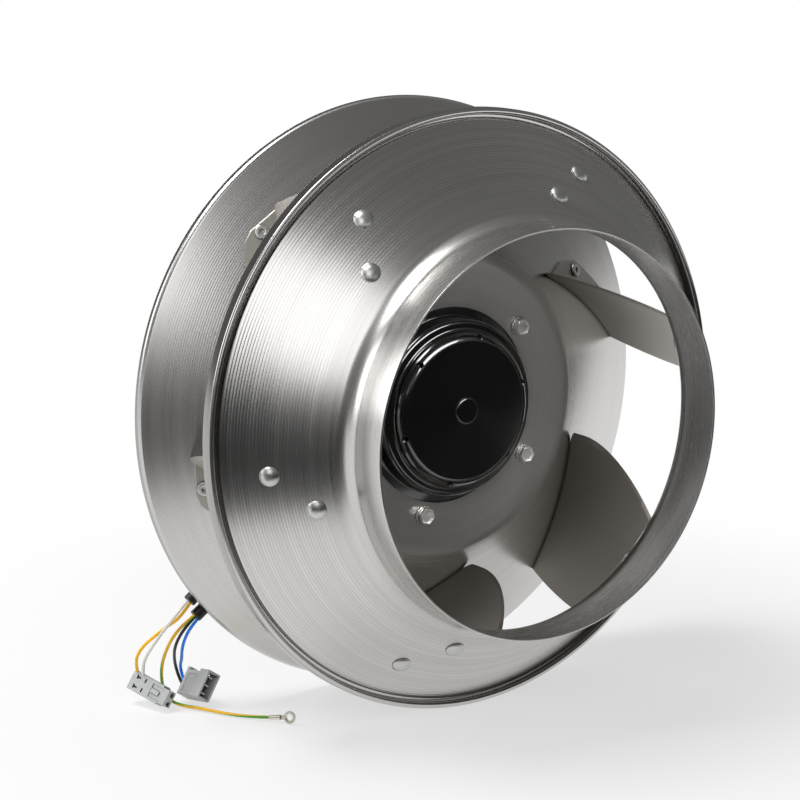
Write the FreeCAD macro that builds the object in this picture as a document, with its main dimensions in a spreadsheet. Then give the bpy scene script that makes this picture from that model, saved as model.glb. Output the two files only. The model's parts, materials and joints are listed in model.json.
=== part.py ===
# Motorised impeller: a backward-curved radial wheel on an external-rotor motor.
#
# Every piece is drawn standing on the motor's mounting face: the wheel's axis is the local Z,
# and a "station" is the height above that face, growing towards the air inlet.
# STAND_UP then turns the finished piece, so that in the part's own frame +Z is up, the axis lies
# along Y, the inlet looks along -Y and the mounting face lies in the XZ plane, facing +Y.
# A piece's bearing is its angle about the axis in degrees, from +X towards +Z, seen from the inlet.

import FreeCAD, Part
import math
import os
import Sketcher
from FreeCAD import Placement, Rotation, Vector

# Driving dimensions: millimetres, degrees and plain counts.
DIMENSIONS = [
    # inlet shroud, spun from sheet
    ("shroud_metal", 1.5, "sheet of the inlet shroud"),
    ("neck_radius", 132.7, "outside of the inlet neck"),
    ("neck_station", 195.3, "front rim of the inlet neck"),
    ("throat_bend", 20, "bend between neck and cone, on the outside"),
    ("shroud_slope", 0.91, "rise of the shroud's cone for each unit of radius"),
    ("mouth_station", 106.2, "station of the cone's large end"),
    ("groove_width", 2.4, "open groove between cone and lip bead"),
    ("groove_depth", 5.2, "depth of that groove"),
    ("lip_radius", 200, "outermost radius of the lip bead"),
    ("lip_width", 4.6, "radial width of the lip bead"),
    ("lip_rise", 1.3, "how far the bead stands forward of the cone's large end"),
    ("lip_skirt", 9, "height of the bead from its rolled crest to its edge"),
    ("lip_round", 2.1, "roll of the bead's crest"),
    # rear disc, spun from sheet
    ("disc_metal", 1.5, "sheet of the rear disc"),
    ("hub_station", 78, "front face of the flat hub ring"),
    ("hub_hole_radius", 66, "hole that the rotor passes through"),
    ("kink_radius", 100, "where the hub ring turns into the cone"),
    ("kink_bend", 14, "bend at that turn"),
    ("disc_slope", 0.59, "fall of the rear cone for each unit of radius"),
    ("disc_radius", 200.8, "outermost radius of the rear disc"),
    ("disc_bend", 4.5, "bend between cone and rim"),
    ("disc_rim_height", 5.03, "rim, from the cone's edge to its rear edge"),
    # blades
    ("blade_count", 6, "blades, evenly spaced"),
    ("blade_metal", 1.6, "sheet of a blade"),
    ("blade_arc", 310.2, "radius of the blade's curve, on its convex face"),
    ("blade_centre_out", 206.8, "distance of that curve's centre from the axis"),
    ("blade_centre_bearing", -100.9, "bearing of that centre for the first blade"),
    ("seam", 0.1, "clearance where one sheet lies on another"),
    ("nose_radius", 118, "radius of the leading edge near the disc"),
    ("nose_station", 82, "station where the leading edge starts to sweep outwards"),
    ("nose_sweep", 140, "curve of the leading edge"),
    ("nose_corner", 4, "setback of the rounded leading corner at the disc"),
    ("eye_corner_radius", 138.4, "radius of the leading corner at the shroud"),
    ("tail_foot_radius", 173.6, "trailing edge at the disc"),
    ("tail_top_radius", 186, "trailing edge at the shroud"),
    ("blade_gap", 8, "gap left open under the shroud beside the front tab"),
    ("tab_root_inner", 163, "start of the front tab's root"),
    ("tab_root_outer", 177, "end of the front tab's root"),
    ("tab_root_relief", 1, "width of the relief cut at each end of the root"),
    ("tail_sweep", 340, "curve of the trailing edge"),
    # rivets
    ("rivet_head_radius", 6.4, "domed rivet head"),
    ("rivet_head_height", 3.3, "height of that dome"),
    ("rivet_shank_radius", 3, "rivet shank"),
    ("rivet_tail_radius", 4.75, "clinched rivet tail"),
    ("rivet_tail_height", 1.6, "height of the clinched tail"),
    ("rivet_tail_round", 0.5, "bevel of the clinched tail"),
    ("rivet_bore_radius", 1.7, "hollow in the clinched tail"),
    ("rivet_fit", 0.1, "clearance of a rivet in its hole"),
    ("front_rivet_inner", 150.6, "radius of the inner shroud rivets"),
    ("front_rivet_inner_bearing", 14.4, "their bearing on the first blade"),
    ("front_rivet_outer", 170, "radius of the outer shroud rivets"),
    ("front_rivet_outer_bearing", 5.6, "their bearing on the first blade"),
    ("rear_rivet_inner", 145.4, "radius of the inner disc rivets"),
    ("rear_rivet_inner_bearing", 31.3, "their bearing on the first blade"),
    ("rear_rivet_outer", 168, "radius of the outer disc rivets"),
    ("rear_rivet_outer_bearing", 14.5, "their bearing on the first blade"),
    # hub bolts
    ("bolt_count", 5, "hub bolts, evenly spaced"),
    ("bolt_circle", 75.2, "radius of the hub bolt circle"),
    ("bolt_bearing", 39.1, "bearing of the first hub bolt"),
    ("bolt_radius", 3, "thread of a hub bolt, M6"),
    ("bolt_length", 12, "length of the bolt under its head"),
    ("bolt_head_width", 10, "across the flats of the hexagon head"),
    ("bolt_head_height", 4.4, "height of the head"),
    ("bolt_recess_radius", 3.2, "round recess in the head"),
    ("bolt_recess_depth", 0.5, "depth of that recess"),
    ("washer_radius", 6.2, "outside of the toothed washer"),
    ("washer_height", 1.6, "thickness of the washer"),
    ("bolt_fit", 0.3, "clearance of the bolt in disc and washer"),
    ("thread_fit", 0.05, "clearance of the bolt in the rotor's flange"),
    # rotor
    ("rotor_metal", 3, "wall of the rotor cup"),
    ("rotor_radius", 59.5, "outside of the rotor"),
    ("rotor_step_radius", 52, "outside of the raised front of the rotor"),
    ("rotor_step_station", 91, "shoulder below the raised front"),
    ("rotor_face_station", 100, "flat front face of the rotor"),
    ("rotor_edge_round", 4, "rounding of the raised front's edge"),
    ("rotor_shoulder_round", 3, "rounding of the shoulder"),
    ("rotor_tail_station", 34, "open rear end of the rotor"),
    ("rotor_dimples", 6, "small blind holes round the rotor's face"),
    ("dimple_circle", 49.6, "radius of their circle"),
    ("dimple_bearing", 16, "bearing of the first"),
    ("dimple_radius", 2, "radius of each hole"),
    ("dimple_depth", 3.2, "depth of each hole, from the face"),
    ("flange_radius", 84, "rotor flange that carries the wheel"),
    ("flange_metal", 2, "thickness of that flange"),
    ("collar_radius", 5.5, "clinched collar behind each bolt"),
    ("collar_height", 4.5, "height of that collar"),
    ("boss_radius", 12, "raised boss at the centre of the rotor's face"),
    ("boss_rise", 2.6, "how far the boss stands forward"),
    ("boss_round", 2.2, "rounding of the boss"),
    ("magnet_count", 8, "magnets inside the rotor"),
    ("magnet_thickness", 5.5, "radial thickness of a magnet"),
    ("magnet_length", 46, "axial length of a magnet"),
    ("magnet_start", 38, "rear end of the magnets"),
    ("magnet_gap", 2, "gap between two magnets, in degrees"),
    ("bond_gap", 0.1, "glue line behind a magnet"),
    # shaft and bearings
    ("shaft_radius", 6, "shaft"),
    ("shaft_start", 9, "rear end of the shaft"),
    ("shaft_fit", 0.02, "clearance of a ring on the shaft or in its seat"),
    ("bearing_radius", 16, "outside of a ball bearing"),
    ("bearing_width", 10, "width of a ball bearing"),
    ("ball_circle", 11, "radius of the circle of balls"),
    ("ball_radius", 3, "ball"),
    ("ball_count", 8, "balls in a bearing"),
    ("ball_play", 0.05, "clearance of a ball in its groove"),
    ("race_lip", 2.2, "half the opening between the two rings"),
    ("cage_thickness", 0.5, "half the radial thickness of the ball cage"),
    ("cage_height", 5, "height of the ball cage"),
    ("rear_bearing_start", 14, "rear face of the rear bearing"),
    ("front_bearing_start", 82, "rear face of the front bearing"),
    ("circlip_thickness", 1, "retaining ring on the shaft"),
    ("circlip_radius", 8.5, "outside of the retaining ring"),
    ("circlip_groove", 0.5, "depth of its groove"),
    ("circlip_start", 12.9, "rear face of the retaining ring"),
    ("spring_thickness", 0.5, "wave spring that preloads the bearings"),
    ("spring_wave", 0.5, "height of the spring's waves"),
    ("spring_width", 1.9, "radial width of the wave spring"),
    ("spring_waves", 3, "waves round the spring"),
    # stator pot
    ("pot_radius", 59, "outside of the stator pot"),
    ("pot_wall", 3, "wall at the pot's mouth"),
    ("pot_plate", 6, "rear plate of the pot"),
    ("pot_height", 30, "height of the pot"),
    ("cover_ledge", 2, "ledge that the board cover sits on"),
    ("cover_thickness", 2, "board cover"),
    ("cover_fit", 0.3, "clearance round the board cover"),
    ("tube_radius", 20, "outside of the bearing tube"),
    ("tube_top", 92.5, "front end of the bearing tube"),
    ("tube_bore", 13, "bore behind the rear bearing"),
    ("seat_step", 1.5, "shoulder behind each bearing seat"),
    ("fin_count", 27, "cooling fins round the pot"),
    ("fin_radius", 66, "tip of the fins"),
    ("fin_width", 2.2, "thickness of a fin"),
    ("fin_height", 22, "height of the fins"),
    ("fin_arc", 308, "arc that the fins cover"),
    ("mount_circle", 42, "radius of the mounting hole circle"),
    ("mount_count", 4, "mounting holes"),
    ("mount_bearing", 45, "bearing of the first mounting hole"),
    ("mount_hole_radius", 3, "mounting thread, M6"),
    ("mount_hole_depth", 10, "depth of the mounting holes"),
    ("mount_boss_radius", 7, "boss round each mounting hole"),
    ("mount_boss_height", 12, "height of that boss from the face"),
    ("recess_inner", 22, "inside of the shallow ring on the mounting face"),
    ("recess_outer", 32, "outside of that ring"),
    ("recess_depth", 1.2, "depth of that ring"),
    ("entry_bearing", 220.5, "direction in which the two cables leave"),
    ("entry_width", 40, "width of the cable entry block"),
    ("entry_height", 18, "height of the cable entry block"),
    ("entry_reach", 64, "distance of the block's face from the axis"),
    ("entry_start", 53, "where the block starts inside the pot wall"),
    ("gland_spacing", 16, "distance between the two glands"),
    ("gland_station", 9, "station of the glands"),
    ("gland_neck_radius", 5.5, "neck of a gland in the block"),
    ("gland_collar_radius", 7, "collar of a gland"),
    ("gland_collar_height", 3, "length of that collar"),
    ("gland_length", 20, "length of the gland outside the block"),
    ("gland_tip_radius", 5, "thin end of the gland"),
    ("gland_root_radius", 6, "thick end of the gland's taper"),
    ("gland_fit", 0.1, "clearance of the gland in the block and of the cable in it"),
    # electronics
    ("post_circle", 46, "radius of the circle of board posts"),
    ("post_radius", 3.6, "board post"),
    ("post_hole_radius", 1.5, "thread in a post, M3"),
    ("board_station", 17, "rear face of the board"),
    ("board_thickness", 1.6, "circuit board"),
    ("board_inner", 22, "inside of the ring-shaped board"),
    ("board_outer", 52, "outside of the board"),
    ("board_screw_head", 2.8, "head radius of a board screw"),
    ("board_screw_head_height", 2, "height of that head"),
    ("board_screw_length", 8, "length of the screw under its head"),
    ("component_circle", 37, "radius of the circle of larger components"),
    ("component_room", 0.8, "room left above the tallest component"),
    ("capacitor_radius", 6, "capacitor can"),
    ("choke_length", 12, "choke"),
    ("choke_width", 14, "choke"),
    ("relay_length", 9, "filter block"),
    ("relay_width", 16, "filter block"),
    ("chip_width", 9, "power chip"),
    ("chip_height", 1.6, "power chip"),
    # stator core and windings
    ("core_start", 42, "rear end of the laminated core"),
    ("core_length", 32, "length of the laminated core"),
    ("core_yoke_radius", 29, "yoke of the core"),
    ("core_radius", 49.6, "outside of the core"),
    ("tooth_count", 12, "teeth of the core"),
    ("tooth_width", 6, "width of a tooth"),
    ("shoe_width", 20, "width of a tooth's shoe"),
    ("shoe_depth", 3.5, "radial depth of the shoe"),
    ("insulator_thickness", 1.5, "end insulation of the core"),
    ("coil_inner", 30.5, "inner end of a coil"),
    ("coil_outer", 45, "outer end of a coil"),
    ("coil_width", 12.4, "width of a coil"),
    ("coil_overhang", 6, "how far a coil stands past the insulation"),
    ("coil_gap", 0.3, "clearance of a coil round its tooth"),
    ("coil_round", 2.5, "rounding of a coil's long edges"),
    # cables
    ("sheath_diameter", 7.6, "outer sheath of both cables"),
    ("sleeve_diameter", 8.8, "shrink sleeve on a sheath's end"),
    ("sleeve_length", 9, "length of that sleeve"),
    ("sleeve_bevel", 0.3, "bevel of its ends"),
    ("core_diameter", 2.2, "insulated conductor"),
    # plugs
    ("control_plug_length", 34, "two-way signal connector"),
    ("control_plug_width", 13.4, "its width"),
    ("control_plug_thickness", 8, "its thickness"),
    ("control_nose_length", 6, "its narrower front end"),
    ("control_nose_step", 1.2, "how much narrower that end is on each side"),
    ("control_plug_bevel", 0.4, "bevel of its long corners"),
    ("key_slot_start", 5, "key slots, from its rear end"),
    ("key_slot_long", 3, "long side of a key slot"),
    ("key_slot_short", 1.2, "short side of a key slot"),
    ("key_slot_depth", 1.6, "depth of the slots"),
    ("key_slot_pitch", 7.5, "distance from the key slots to the second slots"),
    ("latch_window_length", 10, "sunk field round the latch"),
    ("latch_window_margin", 2, "wall beside that field"),
    ("latch_window_depth", 0.5, "depth of that field"),
    ("latch_length", 7, "latch tongue"),
    ("latch_width", 3, "width of the tongue"),
    ("latch_height", 1.6, "height of the tongue"),
    ("latch_place", 11, "middle of the tongue, from the front end"),
    ("power_plug_length", 27, "mains connector"),
    ("power_plug_width", 20, "its width"),
    ("power_plug_thickness", 10, "its thickness"),
    ("power_plug_wall", 1.4, "wall of its hood"),
    ("power_plug_hood", 11, "depth of its open hood"),
    ("power_plug_shoulder", 2, "step between hood and narrower body"),
    ("power_plug_foot", 3, "full-width end at its rear, and wall before the hood"),
    ("power_plug_field", 13, "width of the sunk field on its broad face"),
    ("power_plug_field_depth", 0.6, "depth of that field"),
    ("power_plug_bevel", 0.5, "bevel of its long corners"),
    ("contact_radius", 1.9, "round contact of the signal connector"),
    ("contact_bore", 1.2, "bore of that contact"),
    ("contact_depth", 12, "length of that contact"),
    ("contact_pitch", 6.4, "distance between the two contacts"),
    ("contact_fit", 0.05, "clearance of a contact in its connector"),
    ("contact_sink", 1, "how far a contact's mouth lies behind the front end"),
    ("contact_floor", 1.5, "solid rear end of a contact"),
    ("contact_drop", 0.6, "how far the contacts lie below the connector's middle"),
    ("blade_contact_width", 3.2, "flat contact of the mains connector"),
    ("blade_contact_thickness", 0.8, "its thickness"),
    ("blade_contact_length", 8, "how far it stands into the hood"),
    ("lug_radius", 4.2, "eye of the earth lug"),
    ("lug_hole_radius", 2.2, "hole of the earth lug"),
    ("lug_metal", 0.8, "sheet of the earth lug"),
    ("lug_barrel_radius", 1.7, "crimp barrel of the earth lug"),
    ("lug_barrel_length", 8, "length of that barrel"),
    ("lug_neck_width", 3, "neck between barrel and eye"),
]

FULL_TURN = 360

# The cables' routes in the part's own frame (x, y, z), chosen by hand. The wheel stands with its
# rims on a table at z = -200, and the loose ends of the conductors lie there.
CORD_ROUTES = {
    "control_cable": [(-47.8, -9, -30.3), (-75.2, -9, -53.7), (-96.7, -8, -74.7), (-117, -6.6, -93.9),
                      (-134.6, -5.4, -108.8), (-150.7, -5, -121.5)],
    "power_cable": [(-37.4, -9, -42.4), (-64.8, -9, -65.8), (-86.7, -8, -86.4), (-107.8, -6.6, -104.7),
                    (-127, -5.4, -119.2), (-145.9, -5, -132.9)],
    "white_core": [(-158.5, -4.8, -126.2), (-163.4, -4.4, -131.3), (-169.4, -2.5, -138.7),
                   (-174.5, 1.5, -146.8), (-178.7, 6.5, -156.3), (-181.8, 11.5, -165),
                   (-182.4, 15.5, -172.4), (-180.8, 18, -180.4)],
    "yellow_core": [(-156.7, -4.8, -128.3), (-161.2, -4.4, -133.8), (-166, -2, -139.8),
                    (-172.1, 3, -145.1), (-177.5, 8.5, -151.8), (-182.4, 13.5, -158.1),
                    (-185.3, 17.5, -165.2), (-184.7, 21, -172.2), (-182.1, 23.3, -179.4)],
    "earth_core": [(-153.8, -4.8, -137.4), (-161.2, -4.2, -142.1), (-167.3, -0.5, -150.3),
                   (-169.6, 6, -161.3), (-169.6, 12.5, -173.3), (-167.9, 16.5, -184.6),
                   (-166.9, 14.5, -193.8), (-166.1, 6, -198.4), (-163.1, -5, -198.8),
                   (-157.6, -14, -198.8), (-152.3, -26, -198.8), (-146.1, -39, -198.8),
                   (-137.6, -50.5, -198.7), (-130.1, -61, -197.6)],
    "black_core": [(-152.5, -3.2, -139.1), (-158.9, -2.8, -144.6), (-162.5, 2, -153.6),
                   (-161, 10, -163), (-157.2, 17.5, -171.5), (-153.5, 22.4, -179.6),
                   (-151.4, 21.8, -187.4), (-151.4, 16.6, -192), (-152.6, 10, -191.4)],
    "blue_core": [(-151.4, -4.8, -140.5), (-157, -4, -146.3), (-157.9, 2, -155.3),
                  (-155.4, 10, -165), (-151.3, 17.5, -173.5), (-148.4, 25.3, -181),
                  (-147.4, 23.8, -188.9), (-148.2, 16.9, -193), (-149.8, 9.8, -190.6)],
}
ARC_SHARE = 0.45

# The loose pieces lie as the conductors leave them: centre, and the directions of length and width.
CONTROL_PLUG_CENTRE = Vector(-178.8, 10.6, -188.8)
CONTROL_PLUG_LENGTH = Vector(0.276, -0.935, -0.221)
CONTROL_PLUG_WIDTH = Vector(0.515, -0.05, 0.856)
POWER_PLUG_CENTRE = Vector(-149.8, -1.9, -187)
POWER_PLUG_LENGTH = Vector(0.026, -0.987, 0.156)
POWER_PLUG_WIDTH = Vector(0.574, 0.143, 0.807)
LUG_EYE_CENTRE = Vector(-122.4, -73.4, -195.8)
LUG_FACE = Vector(-0.551, -0.809, 0.204)

ORIGIN = Vector(0, 0, 0)
AXIS = Vector(0, 0, 1)
STAND_UP = Placement(ORIGIN, Rotation(Vector(1, 0, 0), 90))

# A cutting tool runs this far past the face that it cuts, and lengths are alike within TOUCH.
TOOL_SPARE = 2
TOUCH = 0.1

doc = FreeCAD.newDocument("motorised_impeller")
sheet = doc.addObject("Spreadsheet::Sheet", "dims")
for row, (alias, number, note) in enumerate(DIMENSIONS, start=1):
    sheet.set(f"A{row}", str(number))
    sheet.setAlias(f"A{row}", alias)
    sheet.set(f"B{row}", note)
doc.recompute()


class Size:
    """A size from the sheet, or a sum of such sizes: its number, and its formula for a binding."""

    def __init__(self, number, formula):
        self.number = number
        self.formula = formula

    def __add__(self, other):
        other = as_size(other)
        return Size(self.number + other.number, f"({self.formula} + {other.formula})")

    def __sub__(self, other):
        other = as_size(other)
        return Size(self.number - other.number, f"({self.formula} - {other.formula})")

    def __mul__(self, other):
        other = as_size(other)
        return Size(self.number * other.number, f"({self.formula} * {other.formula})")

    def __truediv__(self, other):
        other = as_size(other)
        return Size(self.number / other.number, f"({self.formula} / {other.formula})")

    def __neg__(self):
        return Size(-self.number, f"(-{self.formula})")

    def root(self):
        return Size(math.sqrt(self.number), f"sqrt({self.formula})")


def as_size(value):
    if isinstance(value, Size):
        return value
    return Size(float(value), str(value))


class Sheet:
    """Reads a named size back from the sheet."""

    def __getattr__(self, alias):
        return Size(float(sheet.get(alias)), f"dims.{alias}")


D = Sheet()
ZERO = as_size(0)


def bind(owner, target, size):
    """Tie a property of an object to the sheet."""
    owner.setExpression(target, as_size(size).formula)


def turned_to(bearing, tilt=0, out=0, station=0):
    """Placement at a bearing and distance from the axis, its Z tilted outwards by so many degrees."""
    swing = Placement(ORIGIN, Rotation(AXIS, bearing))
    lean = Placement(Vector(out, 0, station), Rotation(Vector(0, 1, 0), tilt))
    return swing.multiply(lean)


def body_plane(body, role):
    """One of the body's own planes or axes."""
    return [item for item in body.Origin.OriginFeatures if item.Role == role][0]


def add_sketch(body, role, station=ZERO):
    """A sketch on one of the body's own planes, raised to a station when it lies flat."""
    sketch = body.newObject("Sketcher::SketchObject", f"{body.Label}_sketch")
    sketch.AttachmentSupport = [(body_plane(body, role), "")]
    sketch.MapMode = "FlatFace"
    bind(sketch, "AttachmentOffset.Base.z", station)
    return sketch


def pin_point(sketch, line, end, corner):
    """Fix one end of a line to a corner whose two coordinates are sizes."""
    for kind, size in zip(("DistanceX", "DistanceY"), corner):
        index = sketch.addConstraint(Sketcher.Constraint(kind, -1, 1, line, end, size.number))
        bind(sketch, f"Constraints[{index}]", size)


def draw_outline(sketch, corners):
    """A closed outline. A corner is (x, y), or (x, y, radius, side) when an arc leads to the next:
    side 1 bulges to the left of the way to the next corner, -1 to the right."""
    first = sketch.GeometryCount
    count = len(corners)
    points = [(as_size(corner[0]), as_size(corner[1])) for corner in corners]
    ends = []
    for index, corner in enumerate(corners):
        here = Vector(points[index][0].number, points[index][1].number, 0)
        there_sizes = points[(index + 1) % count]
        there = Vector(there_sizes[0].number, there_sizes[1].number, 0)
        if len(corner) == 2:
            sketch.addGeometry(Part.LineSegment(here, there), False)
            ends.append((1, 2))
            continue
        radius, side = as_size(corner[2]), corner[3]
        half = (there - here) * 0.5
        left = Vector(-half.y, half.x, 0).normalize()
        drop = math.sqrt(radius.number ** 2 - half.Length ** 2)
        crest = here + half + left * side * (radius.number - drop)
        sketch.addGeometry(Part.Arc(here, crest, there), False)
        begin_gap = (sketch.getPoint(sketch.GeometryCount - 1, 1) - here).Length
        end_gap = (sketch.getPoint(sketch.GeometryCount - 1, 2) - here).Length
        ends.append((1, 2) if begin_gap < end_gap else (2, 1))
    for index in range(count):
        following = (index + 1) % count
        joint = Sketcher.Constraint("Coincident", first + index, ends[index][1],
                                    first + following, ends[following][0])
        sketch.addConstraint(joint)
    for index in range(count):
        pin_point(sketch, first + index, ends[index][0], points[index])
        if len(corners[index]) > 2:
            radius = as_size(corners[index][2])
            arc = sketch.addConstraint(Sketcher.Constraint("Radius", first + index, radius.number))
            bind(sketch, f"Constraints[{arc}]", radius)


def draw_circle(sketch, out, across, radius):
    """A circle with its centre at (out, across)."""
    out, across, radius = as_size(out), as_size(across), as_size(radius)
    centre = Vector(out.number, across.number, 0)
    index = sketch.addGeometry(Part.Circle(centre, AXIS, radius.number), False)
    pin_point(sketch, index, 3, (out, across))
    size = sketch.addConstraint(Sketcher.Constraint("Radius", index, radius.number))
    bind(sketch, f"Constraints[{size}]", radius)


def new_body(name):
    body = doc.addObject("PartDesign::Body", name)
    body.Label = name
    return body


def turn(body, corners, cut=False):
    """Revolve an outline of (radius, station) corners about the axis, adding or removing."""
    sketch = add_sketch(body, "XZ_Plane")
    draw_outline(sketch, corners)
    kind = "PartDesign::Groove" if cut else "PartDesign::Revolution"
    feature = body.newObject(kind, f"{body.Label}_turn")
    feature.Profile = sketch
    feature.ReferenceAxis = (sketch, ["V_Axis"])
    feature.Angle = FULL_TURN
    doc.recompute()
    return feature


def raise_profile(body, draw, start, height, cut=False):
    """Pad or pocket a flat drawing between two stations; draw(sketch) makes the drawing."""
    sketch = add_sketch(body, "XY_Plane", as_size(start))
    draw(sketch)
    kind = "PartDesign::Pocket" if cut else "PartDesign::Pad"
    feature = body.newObject(kind, f"{body.Label}_{'pocket' if cut else 'pad'}")
    feature.Profile = sketch
    if cut:
        feature.Reversed = True
    bind(feature, "Length", height)
    doc.recompute()
    return feature


def repeat_round(body, feature, count, arc=FULL_TURN):
    """Copy a feature round the axis."""
    pattern = body.newObject("PartDesign::PolarPattern", f"{body.Label}_pattern")
    pattern.Originals = [feature]
    pattern.Axis = (body_plane(body, "Z_Axis"), [""])
    bind(pattern, "Occurrences", count)
    bind(pattern, "Angle", arc)
    body.Tip = pattern
    doc.recompute()
    return pattern


def round_rings(body, rings):
    """Fillet circular edges about the axis. A ring is (radius, station, fillet)."""
    for radius, station, fillet in rings:
        names = []
        for index, edge in enumerate(body.Shape.Edges, start=1):
            curve = edge.Curve
            if not isinstance(curve, Part.Circle):
                continue
            centre = curve.Center
            off_axis = math.hypot(centre.x, centre.y)
            if off_axis > 0.01 or abs(centre.z - as_size(station).number) > 0.02:
                continue
            if abs(curve.Radius - as_size(radius).number) < 0.02:
                names.append(f"Edge{index}")
        if not names:
            raise RuntimeError(f"{body.Label}: no edge to round")
        feature = body.newObject("PartDesign::Fillet", f"{body.Label}_fillet")
        feature.Base = (body.Tip if body.Tip != feature else feature.BaseFeature, names)
        bind(feature, "Radius", fillet)
        doc.recompute()


def part_feature(name, shape, placement=None):
    """A piece whose shape is set directly, in the local frame, and then placed."""
    piece = doc.addObject("Part::Feature", name)
    piece.Label = name
    piece.Shape = shape
    if placement is not None:
        piece.Placement = placement
    return piece


def group(name, solid, places):
    """Identical loose solids in one node: copies of one solid at several placements."""
    copies = []
    for place in places:
        copy = solid.copy()
        copy.Placement = place.multiply(copy.Placement)
        copies.append(copy)
    return part_feature(name, Part.makeCompound(copies))


def rod(radius, low, high):
    """A plain cylinder along the local Z, as a cutting or joining tool."""
    return Part.makeCylinder(radius.number, high - low, Vector(0, 0, low))


def ring_bearings(count, first):
    step = FULL_TURN / count.number
    return [first.number + step * index for index in range(int(count.number))]


NODES = {}


def keep(name, piece, standing=True):
    """Register a finished piece as a node; most are turned from the bench into the part's frame."""
    piece.Label = name
    if standing:
        piece.Placement = STAND_UP.multiply(piece.Placement)
    NODES[name] = piece


# Surfaces of the wheel's two cones

MOUTH_RADIUS = D.lip_radius - D.lip_width - D.groove_width


def shroud_front(radius):
    """Station of the shroud's outer face at a radius."""
    return D.mouth_station + D.shroud_slope * (MOUTH_RADIUS - radius)


def shroud_back(radius):
    """Station of the shroud's inner face at a radius."""
    return shroud_front(radius) - D.shroud_metal * (D.shroud_slope * D.shroud_slope + 1).root()


def disc_front(radius):
    """Station of the rear cone's front face at a radius."""
    return D.hub_station - D.disc_slope * (radius - D.kink_radius)


def disc_back(radius):
    """Station of the rear cone's back face at a radius."""
    return disc_front(radius) - D.disc_metal * (D.disc_slope * D.disc_slope + 1).root()


def cone_tilt(slope):
    return math.degrees(math.atan(slope.number))


def blade_bearings():
    step = FULL_TURN / D.blade_count.number
    return [-step * index for index in range(int(D.blade_count.number))]


def rivet_spots(pairs):
    """Radius and bearing of every rivet: each pair belongs to the first blade."""
    return [(radius, bearing.number + turn_by) for turn_by in blade_bearings() for radius, bearing in pairs]


FRONT_RIVETS = [(D.front_rivet_inner, D.front_rivet_inner_bearing),
                (D.front_rivet_outer, D.front_rivet_outer_bearing)]
REAR_RIVETS = [(D.rear_rivet_inner, D.rear_rivet_inner_bearing),
               (D.rear_rivet_outer, D.rear_rivet_outer_bearing)]
HOLE_REACH = 12


def front_rivet_place(radius, bearing):
    """Seat of a shroud rivet: on the outer face, its head pointing outwards."""
    return turned_to(bearing, cone_tilt(D.shroud_slope), radius.number, shroud_front(radius).number)


def rear_rivet_place(radius, bearing):
    """Seat of a disc rivet: on the disc's back face, its head pointing rearwards."""
    seat = turned_to(bearing, cone_tilt(D.disc_slope), radius.number, disc_back(radius).number)
    return seat.multiply(Placement(ORIGIN, Rotation(Vector(1, 0, 0), 180)))


def hole_tools(spots, place):
    """One drill for each rivet, long enough for the sheet and its tab."""
    drill = rod(D.rivet_shank_radius + D.rivet_fit, -HOLE_REACH, HOLE_REACH)
    drills = []
    for radius, bearing in spots:
        tool = drill.copy()
        tool.Placement = place(radius, bearing)
        drills.append(tool)
    return Part.makeCompound(drills)


def cut_with(name, base, tool_shape):
    """A Part cut of a finished body by a set of drills."""
    tool = part_feature(f"{name}_drills", tool_shape)
    cut = doc.addObject("Part::Cut", f"{name}_drilled")
    cut.Base = base
    cut.Tool = tool
    doc.recompute()
    return cut


# Inlet shroud

def make_shroud():
    body = new_body("shroud_blank")
    metal = D.shroud_metal
    crest = D.mouth_station + D.lip_rise
    groove_floor = D.mouth_station - D.groove_depth
    bead_inner = MOUTH_RADIUS + D.groove_width
    neck_inside = D.neck_radius - metal
    cone_inside = MOUTH_RADIUS - metal
    turn(body, [
        (D.neck_radius, D.neck_station),
        (D.neck_radius, shroud_front(D.neck_radius)),
        (MOUTH_RADIUS, D.mouth_station),
        (MOUTH_RADIUS, groove_floor),
        (bead_inner, groove_floor),
        (bead_inner, crest),
        (D.lip_radius, crest),
        (D.lip_radius, crest - D.lip_skirt),
        (D.lip_radius - metal, crest - D.lip_skirt),
        (D.lip_radius - metal, crest - metal),
        (bead_inner + metal, crest - metal),
        (bead_inner + metal, groove_floor - metal),
        (cone_inside, groove_floor - metal),
        (cone_inside, shroud_back(cone_inside)),
        (neck_inside, shroud_back(neck_inside)),
        (neck_inside, D.neck_station),
    ])
    round_rings(body, [
        (D.neck_radius, shroud_front(D.neck_radius), D.throat_bend),
        (neck_inside, shroud_back(neck_inside), D.throat_bend + metal),
        (bead_inner, crest, D.lip_round),
        (D.lip_radius, crest, D.lip_round),
    ])
    drills = hole_tools(rivet_spots(FRONT_RIVETS), front_rivet_place)
    keep("inlet_shroud", cut_with("shroud", body, drills))


# Rear disc

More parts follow.
